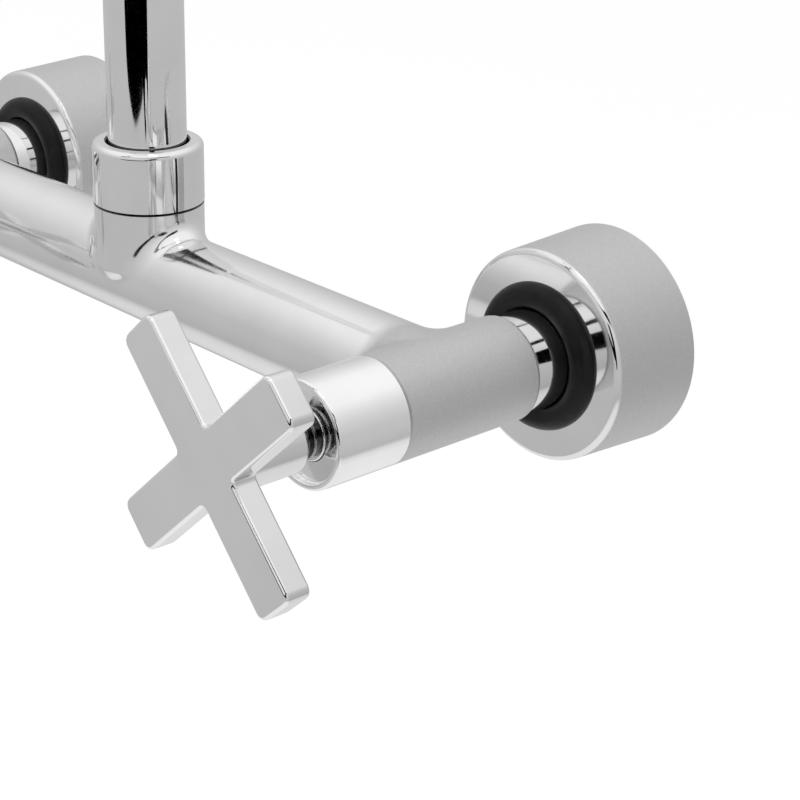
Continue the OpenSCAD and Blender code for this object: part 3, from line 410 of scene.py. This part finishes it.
def surface_net(field, low, high, cell):
    """Points and quads over the surface where field changes sign, on a grid of cells."""
    axes = [np.arange(low[k], high[k] + cell, cell) for k in range(3)]
    value = field(*np.meshgrid(*axes, indexing="ij")).astype(np.float32)
    inside = value < 0
    corners = [inside[i:inside.shape[0] - 1 + i, j:inside.shape[1] - 1 + j, k:inside.shape[2] - 1 + k]
               for i in (0, 1) for j in (0, 1) for k in (0, 1)]
    count = sum(c.astype(np.int8) for c in corners)
    cells = np.argwhere((count > 0) & (count < 8))
    number = np.full(count.shape, -1, np.int32)
    number[tuple(cells.T)] = np.arange(len(cells))
    total, hits = np.zeros((len(cells), 3)), np.zeros(len(cells))
    for axis in range(3):
        b, c = (axis + 1) % 3, (axis + 2) % 3
        for shift_b in (0, 1):
            for shift_c in (0, 1):
                start = cells.copy()
                start[:, b] += shift_b
                start[:, c] += shift_c
                end = start.copy()
                end[:, axis] += 1
                p, q = value[tuple(start.T)].astype(float), value[tuple(end.T)].astype(float)
                cross = (p < 0) != (q < 0)
                t = np.where(cross, p / np.where(cross, p - q, 1), 0)
                place = start - cells + 0.0
                place[:, axis] += t
                total += place * cross[:, None]
                hits += cross
    points = np.array(low) + cell * (cells + total / hits[:, None])
    quads = []
    for axis in range(3):
        b, c = (axis + 1) % 3, (axis + 2) % 3
        first = np.take(inside, range(inside.shape[axis] - 1), axis)
        second = np.take(inside, range(1, inside.shape[axis]), axis)
        edges = np.argwhere(first != second)
        edges = edges[(edges[:, b] > 0) & (edges[:, c] > 0)
                      & (edges[:, b] < number.shape[b]) & (edges[:, c] < number.shape[c])]
        loop = []
        for shift_b, shift_c in ((-1, -1), (0, -1), (0, 0), (-1, 0)):
            cell_at = edges.copy()
            cell_at[:, b] += shift_b
            cell_at[:, c] += shift_c
            loop.append(number[tuple(cell_at.T)])
        loop = np.stack(loop, 1)
        outward = first[tuple(edges.T)]
        loop[~outward] = loop[~outward][:, ::-1]
        quads.append(loop)
    return points, np.concatenate(quads)


def slope(field, points, step=0.02):
    """The direction in which field grows fastest at each point, and its size."""
    g = np.empty_like(points)
    for k in range(3):
        shift = np.zeros(3)
        shift[k] = step
        g[:, k] = (field(*(points + shift).T) - field(*(points - shift).T)) / (2 * step)
    return g


def onto(field, points, rounds=5):
    """Moves points onto the surface of field."""
    for _ in range(rounds):
        g = slope(field, points)
        points = points - g * (field(*points.T) / np.maximum(np.sum(g * g, 1), 1e-6))[:, None]
    return points


def round_union(a, b, radius):
    """Both shapes, with a fillet of that radius between them."""
    u, v = np.maximum(radius - a, 0), np.maximum(radius - b, 0)
    return np.maximum(radius, np.minimum(a, b)) - np.hypot(u, v)


def rod_field(radial, along, radius, low, high, edge=0.0):
    """A rod between two heights, its rims rounded by edge."""
    a = radial - radius + edge
    b = np.maximum(low - along, along - high) + edge
    return np.minimum(np.maximum(a, b), 0) + np.hypot(np.maximum(a, 0), np.maximum(b, 0)) - edge


def bridge_field(x, y, z):
    """The faucet's body: two arms, the bridge tube and the riser boss, with the water's bores."""
    far, tiny, least_fillet = 200.0, 1e-6, 0.01
    arm_fillet_front, arm_fillet_gain, boss_fillet, boss_swell_h = 4.7, 2.3, 4.4, 3.5
    water_r = 7.5
    # Radius, rear and front of each bore in an arm: for the inlet, the seat, the cartridge and the sleeve
    arm_bores = ((8.65, ARM_REAR - 2, 46.0), (6.0, ARM_REAR - 2, 49.0), (9.3, 48.0, far), (10.65, 66.0, far))
    # Radius and foot of each bore in the boss: for the water and the spigot
    boss_bores = ((water_r, 0.0), (9.58, 8.0))
    side = np.abs(x) - INLET_X
    back = y - BRIDGE_Y
    round_arm = np.hypot(side, z)
    round_bridge = np.hypot(back, z)
    round_boss = np.hypot(x, back)
    bridge = np.maximum(round_bridge - TUBE_R, side)
    arm = rod_field(round_arm, -y, TUBE_R, ARM_REAR, far, ARM_EDGE)
    # The fillet between arm and bridge fades where the two tubes run into each other, at top and bottom
    share = np.clip((back + 4) / 8, 0, 1)
    turn = 1 - np.clip(z * z / np.maximum(round_arm * round_bridge, tiny), 0, 1)
    fillet = (arm_fillet_front + arm_fillet_gain * share) * turn
    outside = round_union(bridge, arm, np.maximum(fillet, least_fillet))
    # The boss is as wide as the bridge at its axis, and swells to its own radius above it
    swell = np.clip(z / boss_swell_h, 0, 1)
    boss_r = TUBE_R + (BOSS_R - TUBE_R) * swell * swell * (3 - 2 * swell)
    boss = np.maximum(round_boss - boss_r, -z)
    turn = 1 - np.clip(back * back / np.maximum(round_boss * round_bridge, tiny), 0, 1)
    outside = round_union(outside, boss, np.maximum(boss_fillet * turn ** 0.65, least_fillet))
    bores = [rod_field(round_arm, -y, *bore) for bore in arm_bores]
    bores += [rod_field(round_boss, z, *bore, far) for bore in boss_bores]
    bores.append(np.maximum(round_bridge - water_r, side))
    return np.maximum(outside, -np.minimum.reduce(bores))


def cut_end(bm, cap, at, along, inner_r, centre):
    """Cuts the mesh square at a point along a direction, and closes it with a chamfered, flat end."""
    at, along = Vector(at), Vector(along)
    geom = [v for v in bm.verts] + [e for e in bm.edges] + [f for f in bm.faces]
    near = [g for g in geom if near_centre(g, centre)]
    bmesh.ops.bisect_plane(bm, geom=near, plane_co=at, plane_no=along, clear_outer=True, dist=1e-7)
    rim = [e for e in bm.edges if e.is_boundary and near_centre(e, centre)]
    outer = [e for e in rim if radius_of(e, at, along) > inner_r]
    inner = [e for e in rim if radius_of(e, at, along) <= inner_r]
    loops = []
    for edges, shrink in ((outer, SEAM), (inner, 0.0)):
        made = bmesh.ops.extrude_edge_only(bm, edges=edges)["geom"]
        verts = [g for g in made if isinstance(g, bmesh.types.BMVert)]
        for v in verts:
            off = v.co - at
            off -= along * off.dot(along)
            v.co += along * SEAM - off.normalized() * shrink
        for g in made:
            if isinstance(g, bmesh.types.BMFace):
                g[cap] = 1
        loops += [g for g in made if isinstance(g, bmesh.types.BMEdge) and g.is_boundary]
    for f in bmesh.ops.bridge_loops(bm, edges=loops)["faces"]:
        f[cap] = 1


def near_centre(g, centre):
    """Whether a vertex, edge or face lies at an end of the casting."""
    verts = [g] if isinstance(g, bmesh.types.BMVert) else g.verts
    return all((v.co - Vector(centre)).length < 26 for v in verts)


def radius_of(edge, at, along):
    """How far the middle of an edge is from an axis."""
    off = (edge.verts[0].co + edge.verts[1].co) / 2 - at
    return (off - along * off.dot(along)).length


def bridge_piece():
    """The body casting, its arm ends and boss top cut flat where the sleeves and the collar meet it."""
    cell = 0.7
    inner_r = 11.5
    points, quads = surface_net(bridge_field, (-115, -77, -13.5), (115, -33, 24), cell)
    points = onto(bridge_field, points)
    bm = bmesh.new()
    cap = bm.faces.layers.int.new("cap")
    verts = [bm.verts.new(p) for p in points]
    for q in quads:
        bm.faces.new([verts[i] for i in q])
    for x in (-INLET_X, INLET_X):
        cut_end(bm, cap, (x, SEAM - ARM_FRONT, 0), (0, -1, 0), inner_r, (x, -ARM_FRONT, 0))
    cut_end(bm, cap, (0, BRIDGE_Y, BOSS_TOP - SEAM), (0, 0, 1), inner_r, (0, BRIDGE_Y, BOSS_TOP))
    bmesh.ops.recalc_face_normals(bm, faces=bm.faces)
    mesh = bpy.data.meshes.new("bridge_casting")
    bm.to_mesh(mesh)
    bm.free()
    mesh.shade_smooth()
    co = np.empty(len(mesh.vertices) * 3)
    mesh.vertices.foreach_get("co", co)
    normal = slope(bridge_field, co.reshape(-1, 3))
    normal /= np.linalg.norm(normal, axis=1)[:, None]
    corner_vertex = np.empty(len(mesh.loops), int)
    mesh.loops.foreach_get("vertex_index", corner_vertex)
    corner_normal = normal[corner_vertex]
    capped = np.empty(len(mesh.polygons), int)
    mesh.attributes["cap"].data.foreach_get("value", capped)
    for index in np.flatnonzero(capped):
        face = mesh.polygons[index]
        for k in face.loop_indices:
            corner_normal[k] = face.normal
    mesh.transform(Matrix.Scale(MM, 4))
    mesh.normals_split_custom_set(corner_normal.tolist())
    mesh.attributes.remove(mesh.attributes["cap"])
    obj = bpy.data.objects.new("bridge_casting", mesh)
    bpy.context.scene.collection.objects.link(obj)
    settle(obj, "arm_chrome", "base", ["bridge_body"])
    # The chamfered seam on the boss top, under the collar, is painted near black: painted shade in the
    # groove.
    mesh.materials.append(MATERIALS["neck_metal"])
    for index in np.flatnonzero(capped):
        face = mesh.polygons[index]
        face.material_index = int(face.center.z > (BOSS_TOP - 2 * SEAM) * MM)


bridge_piece()


# ---------------------------------------------------------------- handles and wall shrouds

def handle(side):
    """The cross handle: two crossing bars with soft edges and a turned hub behind them."""
    half_l, half_w = 32.3, 6.0
    rear, front, hub_rear, hub_r = 111.7, 118.1, 96.7, 7.1
    end_round, inner_round, edge, foot = 2.2, 1.4, 0.8, 0.3
    arm = ((half_w, -half_w, inner_round), (half_l, -half_w, end_round), (half_l, half_w, end_round))
    corners = []
    for k in range(4):
        c, s = round(math.cos(k * math.pi / 2)), round(math.sin(k * math.pi / 2))
        corners += [(c * x - s * y, s * x + c * y, r) for x, y, r in arm]
    cos_a, sin_a = math.cos(HANDLE_ANGLE), math.sin(HANDLE_ANGLE)
    axis = ARM[side]

    def place(p):
        x, z = cos_a * p[:, 0] - sin_a * p[:, 1], sin_a * p[:, 0] + cos_a * p[:, 1]
        return axis.origin + np.column_stack([x, np.zeros(len(p)), z]) + p[:, 2:3] * axis.along

    cross = prism(soft(corners, 6), (rear, front), edge, place)
    hub = turned(axis, soft([
        (STEM_BORE_R, hub_rear, 0.2), (hub_r, hub_rear, 0.5), (hub_r, rear - 2 * foot, 0.5),
        (hub_r + 0.45, rear + foot), (STEM_BORE_R, rear + foot)], 4), 96)
    # Every face but the front takes the darker copy of the handle's chrome, painted shade.
    piece(side + "_cross_handle", [cross, hub], "handle_chrome", side + "_valve",
          [side + "_handle"], second=("handle_side", lambda p: -p.y < front - edge * 0.9))


def shroud(side):
    """The deep cup on the wall and the rubber ring in its front hole."""
    axis = ARM[side]
    depth, wall, back_r, front_r, hole = 24.0, 1.3, 25.5, 24.5, 14.15
    piece(side + "_shroud_cup", [turned(axis, soft([
        (back_r, 0.0, 0.25), (front_r, depth, 1.5), (hole, depth, 0.3), (hole, depth - wall, 0.2),
        (front_r - wall, depth - wall, 0.8), (back_r - wall, 0.0, 0.25)], 8), 224)],
        "shroud_chrome", "base", [side + "_wall_shroud"])
    # The ring's bead rises from its bore over a crest, and falls in a quarter of an ellipse to the cup's face
    gap, plug_r = 0.05, hole - 0.1
    face, bore, bead, height, lip, drop = depth + gap, 11.5, 5.65, 2.9, 2.6, 1.4
    crest = bore + lip
    profile = [(crest - lip * math.cos(t), face + height - drop * (1 - math.sin(t)))
               for t in np.linspace(0.0, math.pi / 2, 10)]
    profile += [(crest + (bead - lip) * math.sin(t), face + height * math.cos(t))
                for t in np.linspace(0.08, math.pi / 2 - 0.04, 22)]
    profile += [(bore + bead, face), (plug_r, face), (plug_r, depth - wall + gap), (bore, depth - wall + gap)]
    piece(side + "_rubber_ring", [turned(axis, profile, 160)], "rubber", "base",
          [side + "_shroud_ring"], sharp=50)


def collar():
    """The ring nut round the riser's foot, with painted shade in the seams below it and round the riser."""
    outer, spigot, mouth, low, top, ceiling = 13.5, 11.6, 9.9, 18.45, 33.5, 30.25

    # The collar's bottom chamfer and the inside of its mouth are painted near black: painted shade.
    def in_painted_seam_shade(p):
        out = math.hypot(p.x, p.y - BRIDGE_Y)
        return (p.z < low + SEAM and out > outer - 2) or (p.z > ceiling and out < mouth + 0.45)

    piece("collar_ring", [turned(RISER, soft([
        (outer - SEAM, low), (outer, low + SEAM), (outer, top, 1.6), (mouth, top, 0.6), (mouth, ceiling, 0.1),
        (spigot, ceiling, 0.1), (spigot, low)], 8), 160)], "chrome", "base", ["riser_collar"],
        second=("neck_metal", in_painted_seam_shade))


def sleeve(side):
    """The bright sleeve in front of the arm, with a recessed face."""
    rear, seat, recess = 66.2, ARM_FRONT + 0.05, 91.4
    rim, chamber, neck = 10.6, 9.3, 6.15
    piece(side + "_sleeve", [turned(ARM[side], soft([
        (rim, rear), (rim, seat), (TUBE_R - SEAM, seat), (TUBE_R, seat + SEAM), (TUBE_R, SLEEVE_FRONT, 0.7),
        (rim, SLEEVE_FRONT, 0.3), (rim, recess, 0.4), (neck, recess, 0.1), (neck, CARTRIDGE_SHOULDER + 0.05),
        (chamber, CARTRIDGE_SHOULDER + 0.05), (chamber, rear)], 7), 192)],
        "bright_chrome", "base", [side + "_valve_sleeve"])


def cartridge(side):
    """The valve cartridge: a body in the arm, a bright collar in the sleeve's recess and a ridged neck."""
    rear, roof, collar_top, front = 50.0, 61.05, 91.8, 96.3
    body_r, cavity, collar_r, ridge_r, neck_r, ridge_l = 9.25, 8.0, 6.0, 5.2, 4.5, 0.75
    node, axis = [side + "_cartridge"], ARM[side]
    piece(side + "_cartridge_body", [turned(axis, soft([
        (cavity, rear), (body_r, rear, 0.3), (body_r, CARTRIDGE_SHOULDER, 0.3),
        (collar_r, CARTRIDGE_SHOULDER), (collar_r, collar_top, 0.4), (STEM_BORE_R, collar_top),
        (STEM_BORE_R, roof), (cavity, roof)], 5), 96)],
        "chrome", "base", node)
    # The neck between the ridges is near-black neck_metal: painted shade in the thread's roots.
    piece(side + "_cartridge_neck", [turned(axis, soft([
        (STEM_BORE_R, collar_top), (neck_r, collar_top), (neck_r, front, 0.2),
        (STEM_BORE_R, front)], 4), 96)],
        "neck_metal", "base", node)
    root = neck_r - 0.05
    ridges = [turned(axis, soft([(root, low), (ridge_r, low, 0.2), (ridge_r, low + ridge_l, 0.2),
                                 (root, low + ridge_l)], 4), 96) for low in (92.9, 94.9)]
    piece(side + "_neck_ridges", ridges, "ridge_metal", "base", node)


def soft_ring(name, axis, radii, heights, edge, body, node):
    """A flat rubber ring between two radii and two heights."""
    (inner, outer), (low, high) = radii, heights
    piece(name, [turned(axis, soft([(inner, low, edge), (outer, low, edge), (outer, high, edge),
                                    (inner, high, edge)], 4), 96)], "rubber", body, [node])


def o_rings(name, axis, middle, radius, heights, body, node):
    """Round rubber rings of one size at several heights."""
    turn = TAU * np.arange(16) / 16
    piece(name, [turned(axis, np.stack([middle + radius * np.cos(turn), z + radius * np.sin(turn)], 1), 96)
                 for z in heights], "rubber", body, [node])


def seals():
    """The washers and seals inside the valves, the inlets, the swivel and the spray valve."""
    for side, axis in ARM.items():
        soft_ring(side + "_inlet_filter_seal", axis, (6.5, 12.6), (11.0, 13.0), 0.3, "base",
                  side + "_filter_washer")
        soft_ring(side + "_valve_seat_seal", axis, (6.0, 8.0), (48.0, 50.0), 0.3, "base", side + "_seat_seal")
        o_rings(side + "_stem_o_rings", axis, 3.51, 0.49, (68.05, 74.05), side + "_valve",
                side + "_stem_seals")
    o_rings("riser_o_rings", RISER, 8.72, 0.79, (12.9, 18.4), "riser", "riser_seals")
    soft_ring("plunger_washer", PLUNGER, (2.52, 6.6), (-1.45, -0.22), 0.25, "plunger", "seat_washer")


# The arch: straight up from the riser, half a circle, straight down to the spray valve
ARCH_SPRING_LINE, ARCH_RISE, ARCH_R, ARCH_DROP = 512.0, 100.0, 95.0, 170.0
ARCH_BEND = math.pi * ARCH_R
ARCH_L = ARCH_RISE + ARCH_BEND + ARCH_DROP


def arch(s, phi=0.0):
    """Points of the arch line at lengths s, and directions across it, turned by phi."""
    s, phi = np.broadcast_arrays(np.asarray(s, float), phi)
    a = np.clip((s - ARCH_RISE) / ARCH_R, 0, math.pi)
    up = (ARCH_SPRING_LINE + ARCH_R * np.sin(a) + np.minimum(s - ARCH_RISE, 0)
          - np.maximum(s - ARCH_RISE - ARCH_BEND, 0))
    line = np.stack([0 * s, BRIDGE_Y - ARCH_R * (1 - np.cos(a)), up], -1)
    outward = np.stack([np.cos(phi), np.sin(phi) * np.cos(a), np.sin(phi) * np.sin(a)], -1)
    return line, outward


def winding(length, wire, turns, steps):
    """Stations of a wound wire: length along the coil, and angle round it."""
    count = turns * steps
    along = wire + (length - 2 * wire) * np.arange(count + 1) / count
    angle = TAU * np.arange(count + 1) / steps
    return np.concatenate([[0], along, [length]]), np.concatenate([[0], angle, [angle[-1]]])


def hose_and_springs():
    """The hose inside its arch spring, and the return spring of the spray valve."""
    coil_r, wire_r, turns = 9.5, 1.6, 86
    s, phi = winding(ARCH_L, 2 * wire_r, turns, 24)
    line, outward = arch(s, phi)
    piece("arch_spring_coil", [tube(line + coil_r * outward, outward, wire_r, 12)], "spring_steel", "riser",
          ["arch_spring"], sharp=60)
    start, hose_r, bore_r = 11.8, 6.0, 4.0
    s = np.concatenate([[start], np.linspace(ARCH_RISE, ARCH_RISE + ARCH_BEND, 97), [ARCH_L - start]])
    piece("spray_hose", [tube(*arch(s), hose_r, 40, bore_r)], "hose_rubber", "riser", ["hose"])
    coil_r, wire_r, turns, low, high = 5.0, 0.5, 5, 2.0, 12.0
    s, phi = winding(high - low, 2 * wire_r, turns, 24)
    outward = np.stack([np.cos(phi), 0 * phi, np.sin(phi)], -1)
    line = np.stack([0 * s, HEAD_Y + low + s, 0 * s + VALVE_Z], -1) + coil_r * outward
    spring = piece("valve_return_coil", [tube(line, outward, wire_r, 10)], "steel", "riser",
                   ["return_spring"], sharp=60)
    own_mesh(spring)


def grip():
    """The rubber grip, with shallow grooves between rounded ends."""
    low, high, outer, bore, depth, pitch, end, fade = 31.0, 111.0, 13.5, 9.05, 0.55, 5.0, 2, 6
    turns = np.linspace(0.2, 1.37, 6)
    outline = [(bore, low), (outer - end, low)]
    outline += [(outer - end + end * math.sin(t), low + end - end * math.cos(t)) for t in turns]
    for z in np.arange(low + end, high - end + 0.01, 0.5):
        wave = math.cos(TAU * (z - low - end) / pitch)
        ends = min(1.0, (z - low - end) / fade, (high - end - z) / fade)
        outline.append((outer - depth * ends * max(0.0, -wave) ** 0.7, z))
    outline += [(outer - end + end * math.cos(t), high - end + end * math.sin(t)) for t in turns]
    outline += [(outer - end, high), (bore, high)]
    piece("grip_sleeve", [turned(HEAD, outline, 128)], "grip_rubber", "riser", ["grip"],
          sharp=60)


def bumper():
    """The rubber bumper round the rim of the spray bell."""
    low, high, inner, wall, bulge, lip, floor_z = -42.0, -32.0, 25.05, 26.55, 2.0, 22.0, -40.05
    half = (high - low) / 2
    outline = [(lip, low, 0.5)]
    outline += [(wall + bulge * math.cos(t), low + half + half * math.sin(t))
                for t in np.linspace(-math.pi / 2, math.pi / 2, 20)]
    outline += [(inner, high, 0.3), (inner, floor_z), (lip, floor_z, 0.5)]
    piece("bell_bumper", [turned(HEAD, soft(outline, 4), 144)], "rubber", "riser", ["bumper_ring"])


def lever():
    """The bent squeeze lever with soft edges, and the knuckle on its pin."""
    line = np.array([(-28, -20), (-39.9, -8), (-39.9, 88), (-43.9, 100)], float)
    bends, tip = (0, 9.0, 14.0), 1.4
    half_t, half_w, edge = 1.6, 6.0, 0.6
    pin_r, knuckle_r, knuckle_half_w = 1.55, 4.5, 6.1
    ahead = np.diff(line, axis=0)
    ahead /= np.linalg.norm(ahead, axis=1)[:, None]
    left = np.stack([-ahead[:, 1], ahead[:, 0]], 1)
    both = np.vstack([left[:1], left[:-1] + left[1:], left[-1:]])
    both /= np.sum(both * both, 1)[:, None]
    both[1:-1] *= 2
    off = half_t * both
    rounds = (*bends, tip)
    corners = [(*q, r) for q, r in zip(line + off, rounds)]
    corners += [(*q, r) for q, r in zip((line - off)[::-1], rounds[::-1])]

    def place(q):
        return np.stack([q[:, 2], HEAD_Y + q[:, 0], VALVE_Z + q[:, 1]], 1)

    strap = prism(soft(corners, 8), (-half_w, half_w), edge, place)
    pin = Axis((0, HEAD_Y + line[0, 0], VALVE_Z + line[0, 1]), (1, 0, 0), (0, 1, 0))
    knuckle = turned(pin, soft([(pin_r, -knuckle_half_w), (knuckle_r, -knuckle_half_w, 0.4),
                                (knuckle_r, knuckle_half_w, 0.4), (pin_r, knuckle_half_w)], 4), 64)
    piece("squeeze_lever", [strap, knuckle], "cast_chrome", "lever", ["spray_lever"])


collar()
for side in SIDES:
    handle(side)
    shroud(side)
    sleeve(side)
    cartridge(side)
seals()
hose_and_springs()
grip()
bumper()
lever()


# ---------------------------------------------------------------- camera and light

def camera():
    """The photograph's view: place, direction and field were fitted to its edges."""
    azimuth, elevation, roll = (math.radians(a) for a in (47.33, 22.57, 1.0))
    back = Vector((math.sin(azimuth) * math.cos(elevation), -math.cos(azimuth) * math.cos(elevation),
                   math.sin(elevation)))
    right = (-back).cross(Vector((0, 0, 1))).normalized()
    up = right.cross(-back)
    right, up = right * math.cos(roll) + up * math.sin(roll), up * math.cos(roll) - right * math.sin(roll)
    data = bpy.data.cameras.new("camera")
    data.sensor_width = 36.0
    data.lens = 99.906
    data.clip_start, data.clip_end = 0.01, 50.0
    obj = bpy.data.objects.new("camera", data)
    bpy.context.scene.collection.objects.link(obj)
    place = Matrix((right, up, back)).transposed().to_4x4()
    place.translation = Vector((421.55, -360.53, 181.36)) * MM
    obj.matrix_world = place
    bpy.context.scene.camera = obj


# How bright the studio looks in a reflection, by the height of its direction (-1 down, 1 up)
STUDIO = ((-1.0, 0.86), (-0.71, 0.84), (-0.62, 0.74), (-0.54, 0.49), (-0.42, 0.52), (-0.22, 0.555),
          (0.0, 0.57), (0.17, 0.63), (0.34, 0.69), (0.5, 0.78), (0.62, 0.88), (0.71, 0.96), (0.87, 1.0))


def world():
    """White for the camera; for polished metal, a room whose walls are greyest just below its height."""
    made = bpy.data.worlds.new("studio")
    bpy.context.scene.world = made
    made.use_nodes = True
    tree = made.node_tree
    tree.nodes.clear()
    new, link = tree.nodes.new, tree.links.new
    path = new("ShaderNodeLightPath")
    mirrored = new("ShaderNodeMath")
    mirrored.operation = "MAXIMUM"
    link(path.outputs["Is Glossy Ray"], mirrored.inputs[0])
    link(path.outputs["Is Transmission Ray"], mirrored.inputs[1])
    parts, height, ramp = new("ShaderNodeSeparateXYZ"), new("ShaderNodeMapRange"), new("ShaderNodeValToRGB")
    link(new("ShaderNodeTexCoord").outputs["Generated"], parts.inputs[0])
    height.inputs["From Min"].default_value = -1.0
    link(parts.outputs["Z"], height.inputs["Value"])
    link(height.outputs[0], ramp.inputs["Fac"])
    stops = ramp.color_ramp.elements
    while len(stops) < len(STUDIO):
        stops.new(0.5)
    # A stop that moves past another changes places with it, so the colours wait for the last move
    for stop, (place, _) in zip(stops, STUDIO):
        stop.position = (place + 1) / 2
    for stop, (_, level) in zip(stops, STUDIO):
        stop.color = (level, level, level, 1)
    lit, walls, white = (new("ShaderNodeBackground") for _ in range(3))
    lit.inputs["Color"].default_value = (1, 1, 1, 1)
    lit.inputs["Strength"].default_value = 0.55
    link(ramp.outputs["Color"], walls.inputs["Color"])
    white.inputs["Color"].default_value = (1, 1, 1, 1)
    inner, outer = new("ShaderNodeMixShader"), new("ShaderNodeMixShader")
    link(mirrored.outputs[0], inner.inputs["Fac"])
    link(lit.outputs[0], inner.inputs[1])
    link(walls.outputs[0], inner.inputs[2])
    link(path.outputs["Is Camera Ray"], outer.inputs["Fac"])
    link(inner.outputs[0], outer.inputs[1])
    link(white.outputs[0], outer.inputs[2])
    link(outer.outputs[0], new("ShaderNodeOutputWorld").inputs["Surface"])


def floor():
    """A pale floor below the wall fitting. The camera sees it white, and it keeps a soft shadow."""
    g = Graph("floor")
    g.bsdf.inputs["Roughness"].default_value = 0.9
    g.bsdf.inputs["Specular IOR Level"].default_value = 0.0
    g.link(g.ramp(g.noise(3.0), grey(0.86), grey(0.88)), g.bsdf.inputs["Base Color"])
    path = g.node("ShaderNodeLightPath")
    seen = g.spread(path.outputs["Is Camera Ray"], 0.0, 0.8, 0.0, 1.0)
    glow = g.node("ShaderNodeEmission")
    glow.inputs["Strength"].default_value = 1.1
    mix = g.node("ShaderNodeMixShader")
    g.link(seen, mix.inputs["Fac"])
    g.link(g.bsdf.outputs[0], mix.inputs[1])
    g.link(glow.outputs[0], mix.inputs[2])
    g.link(mix.outputs[0], g.tree.nodes["Material Output"].inputs["Surface"])
    size, depth = 6.0, -0.30
    mesh = bpy.data.meshes.new("floor")
    mesh.from_pydata([(-size, -size, depth), (size, -size, depth), (size, size, depth), (-size, size, depth)],
                     [], [(0, 1, 2, 3)])
    obj = bpy.data.objects.new("floor", mesh)
    obj.data.materials.append(g.material)
    obj.visible_glossy = False
    bpy.context.scene.collection.objects.link(obj)


def card(name, corners, level):
    """A studio card that only polished metal shows.

    Each corner is its azimuth and elevation in degrees, its distance, and the point it is seen from."""
    points = []
    for azimuth, elevation, far, seen_from in corners:
        a, e = math.radians(azimuth), math.radians(elevation)
        away = Vector((math.sin(a) * math.cos(e), -math.cos(a) * math.cos(e), math.sin(e)))
        points.append((Vector(seen_from) + far * away) * MM)
    mesh = bpy.data.meshes.new(name)
    mesh.from_pydata(points, [], [tuple(range(len(points)))])
    g = Graph(name)
    glow = g.node("ShaderNodeEmission")
    g.link(g.ramp(g.noise(4.0), grey(level * 0.97), grey(level)), glow.inputs["Color"])
    g.link(glow.outputs[0], g.tree.nodes["Material Output"].inputs["Surface"])
    obj = bpy.data.objects.new(name, mesh)
    obj.data.materials.append(g.material)
    obj.visible_camera = obj.visible_diffuse = obj.visible_shadow = obj.visible_transmission = False
    bpy.context.scene.collection.objects.link(obj)


def cards():
    """Three dark cards and a lamp, placed by the reflections that the photograph shows."""
    near, far, black, lamp = 300, 900, 0.0, 4.0
    gap = ((22, -15.35, 41), (31, -15.2, 43), (41.2, -14.8, 46), (48, -14.4, 50), (53.6, -13.8, 55.5),
           (58, -13.0, 63), (61, -11.6, 75), *((a, -11.3, 75) for a in (50, 40, 30, 20, 10)),
           (-1, -11.6, 75), (-0.5, -13, 63), (0.6, -13.8, 55.5), (4, -14.4, 50), (9.2, -14.8, 46),
           (15, -15.2, 43))
    card("dark_gap", [(a, e, near, (0, BRIDGE_Y, z)) for a, e, z in gap], black)
    above = ((2, 37), (34, 36.5), (67, 33.5), (82, 31), (104, 28), (104, 38.5), (82, 43), (67, 42),
             (50, 40.8), (34, 40.6), (2, 41))
    card("dark_above", [(a, e, far, (12, -62, 16)) for a, e in above], black)
    beside = ((48, -12), (60, -9), (66, 2), (72, 11), (75, 22), (60, 22), (54, 14), (48, 5), (44, -6))
    card("dark_beside", [(a, e, near, (12, -62, 13)) for a, e in beside], black)
    azimuth, elevation, half_w, half_h = 90, 81, 4, 8
    oval = [(azimuth + half_w * math.cos(t) / math.cos(math.radians(elevation)),
             elevation + half_h * math.sin(t)) for t in np.linspace(0, TAU, 20, endpoint=False)]
    card("lamp_above", [(a, e, far, (12.7, -60.6, 32)) for a, e in oval], lamp)


def softbox(name, place, target, size, power):
    """A soft lamp, in metres and watts, that no reflection shows."""
    data = bpy.data.lights.new(name, "AREA")
    data.shape = "RECTANGLE"
    data.size, data.size_y = size
    data.energy = power
    obj = bpy.data.objects.new(name, data)
    bpy.context.scene.collection.objects.link(obj)
    place, target = Vector(place), Vector(target)
    obj.location = place
    obj.rotation_mode = "QUATERNION"
    obj.rotation_quaternion = (target - place).to_track_quat("-Z", "Y")
    obj.visible_glossy = False


bpy.context.scene.view_settings.view_transform = "Standard"
camera()
world()
floor()
cards()
softbox("key", (-0.9, -1.3, 1.5), (0, -0.08, 0.1), (1.0, 1.0), 14)
softbox("fill", (1.6, -0.9, 0.9), (0, -0.08, 0.1), (0.9, 1.2), 8)

bpy.context.view_layer.update()
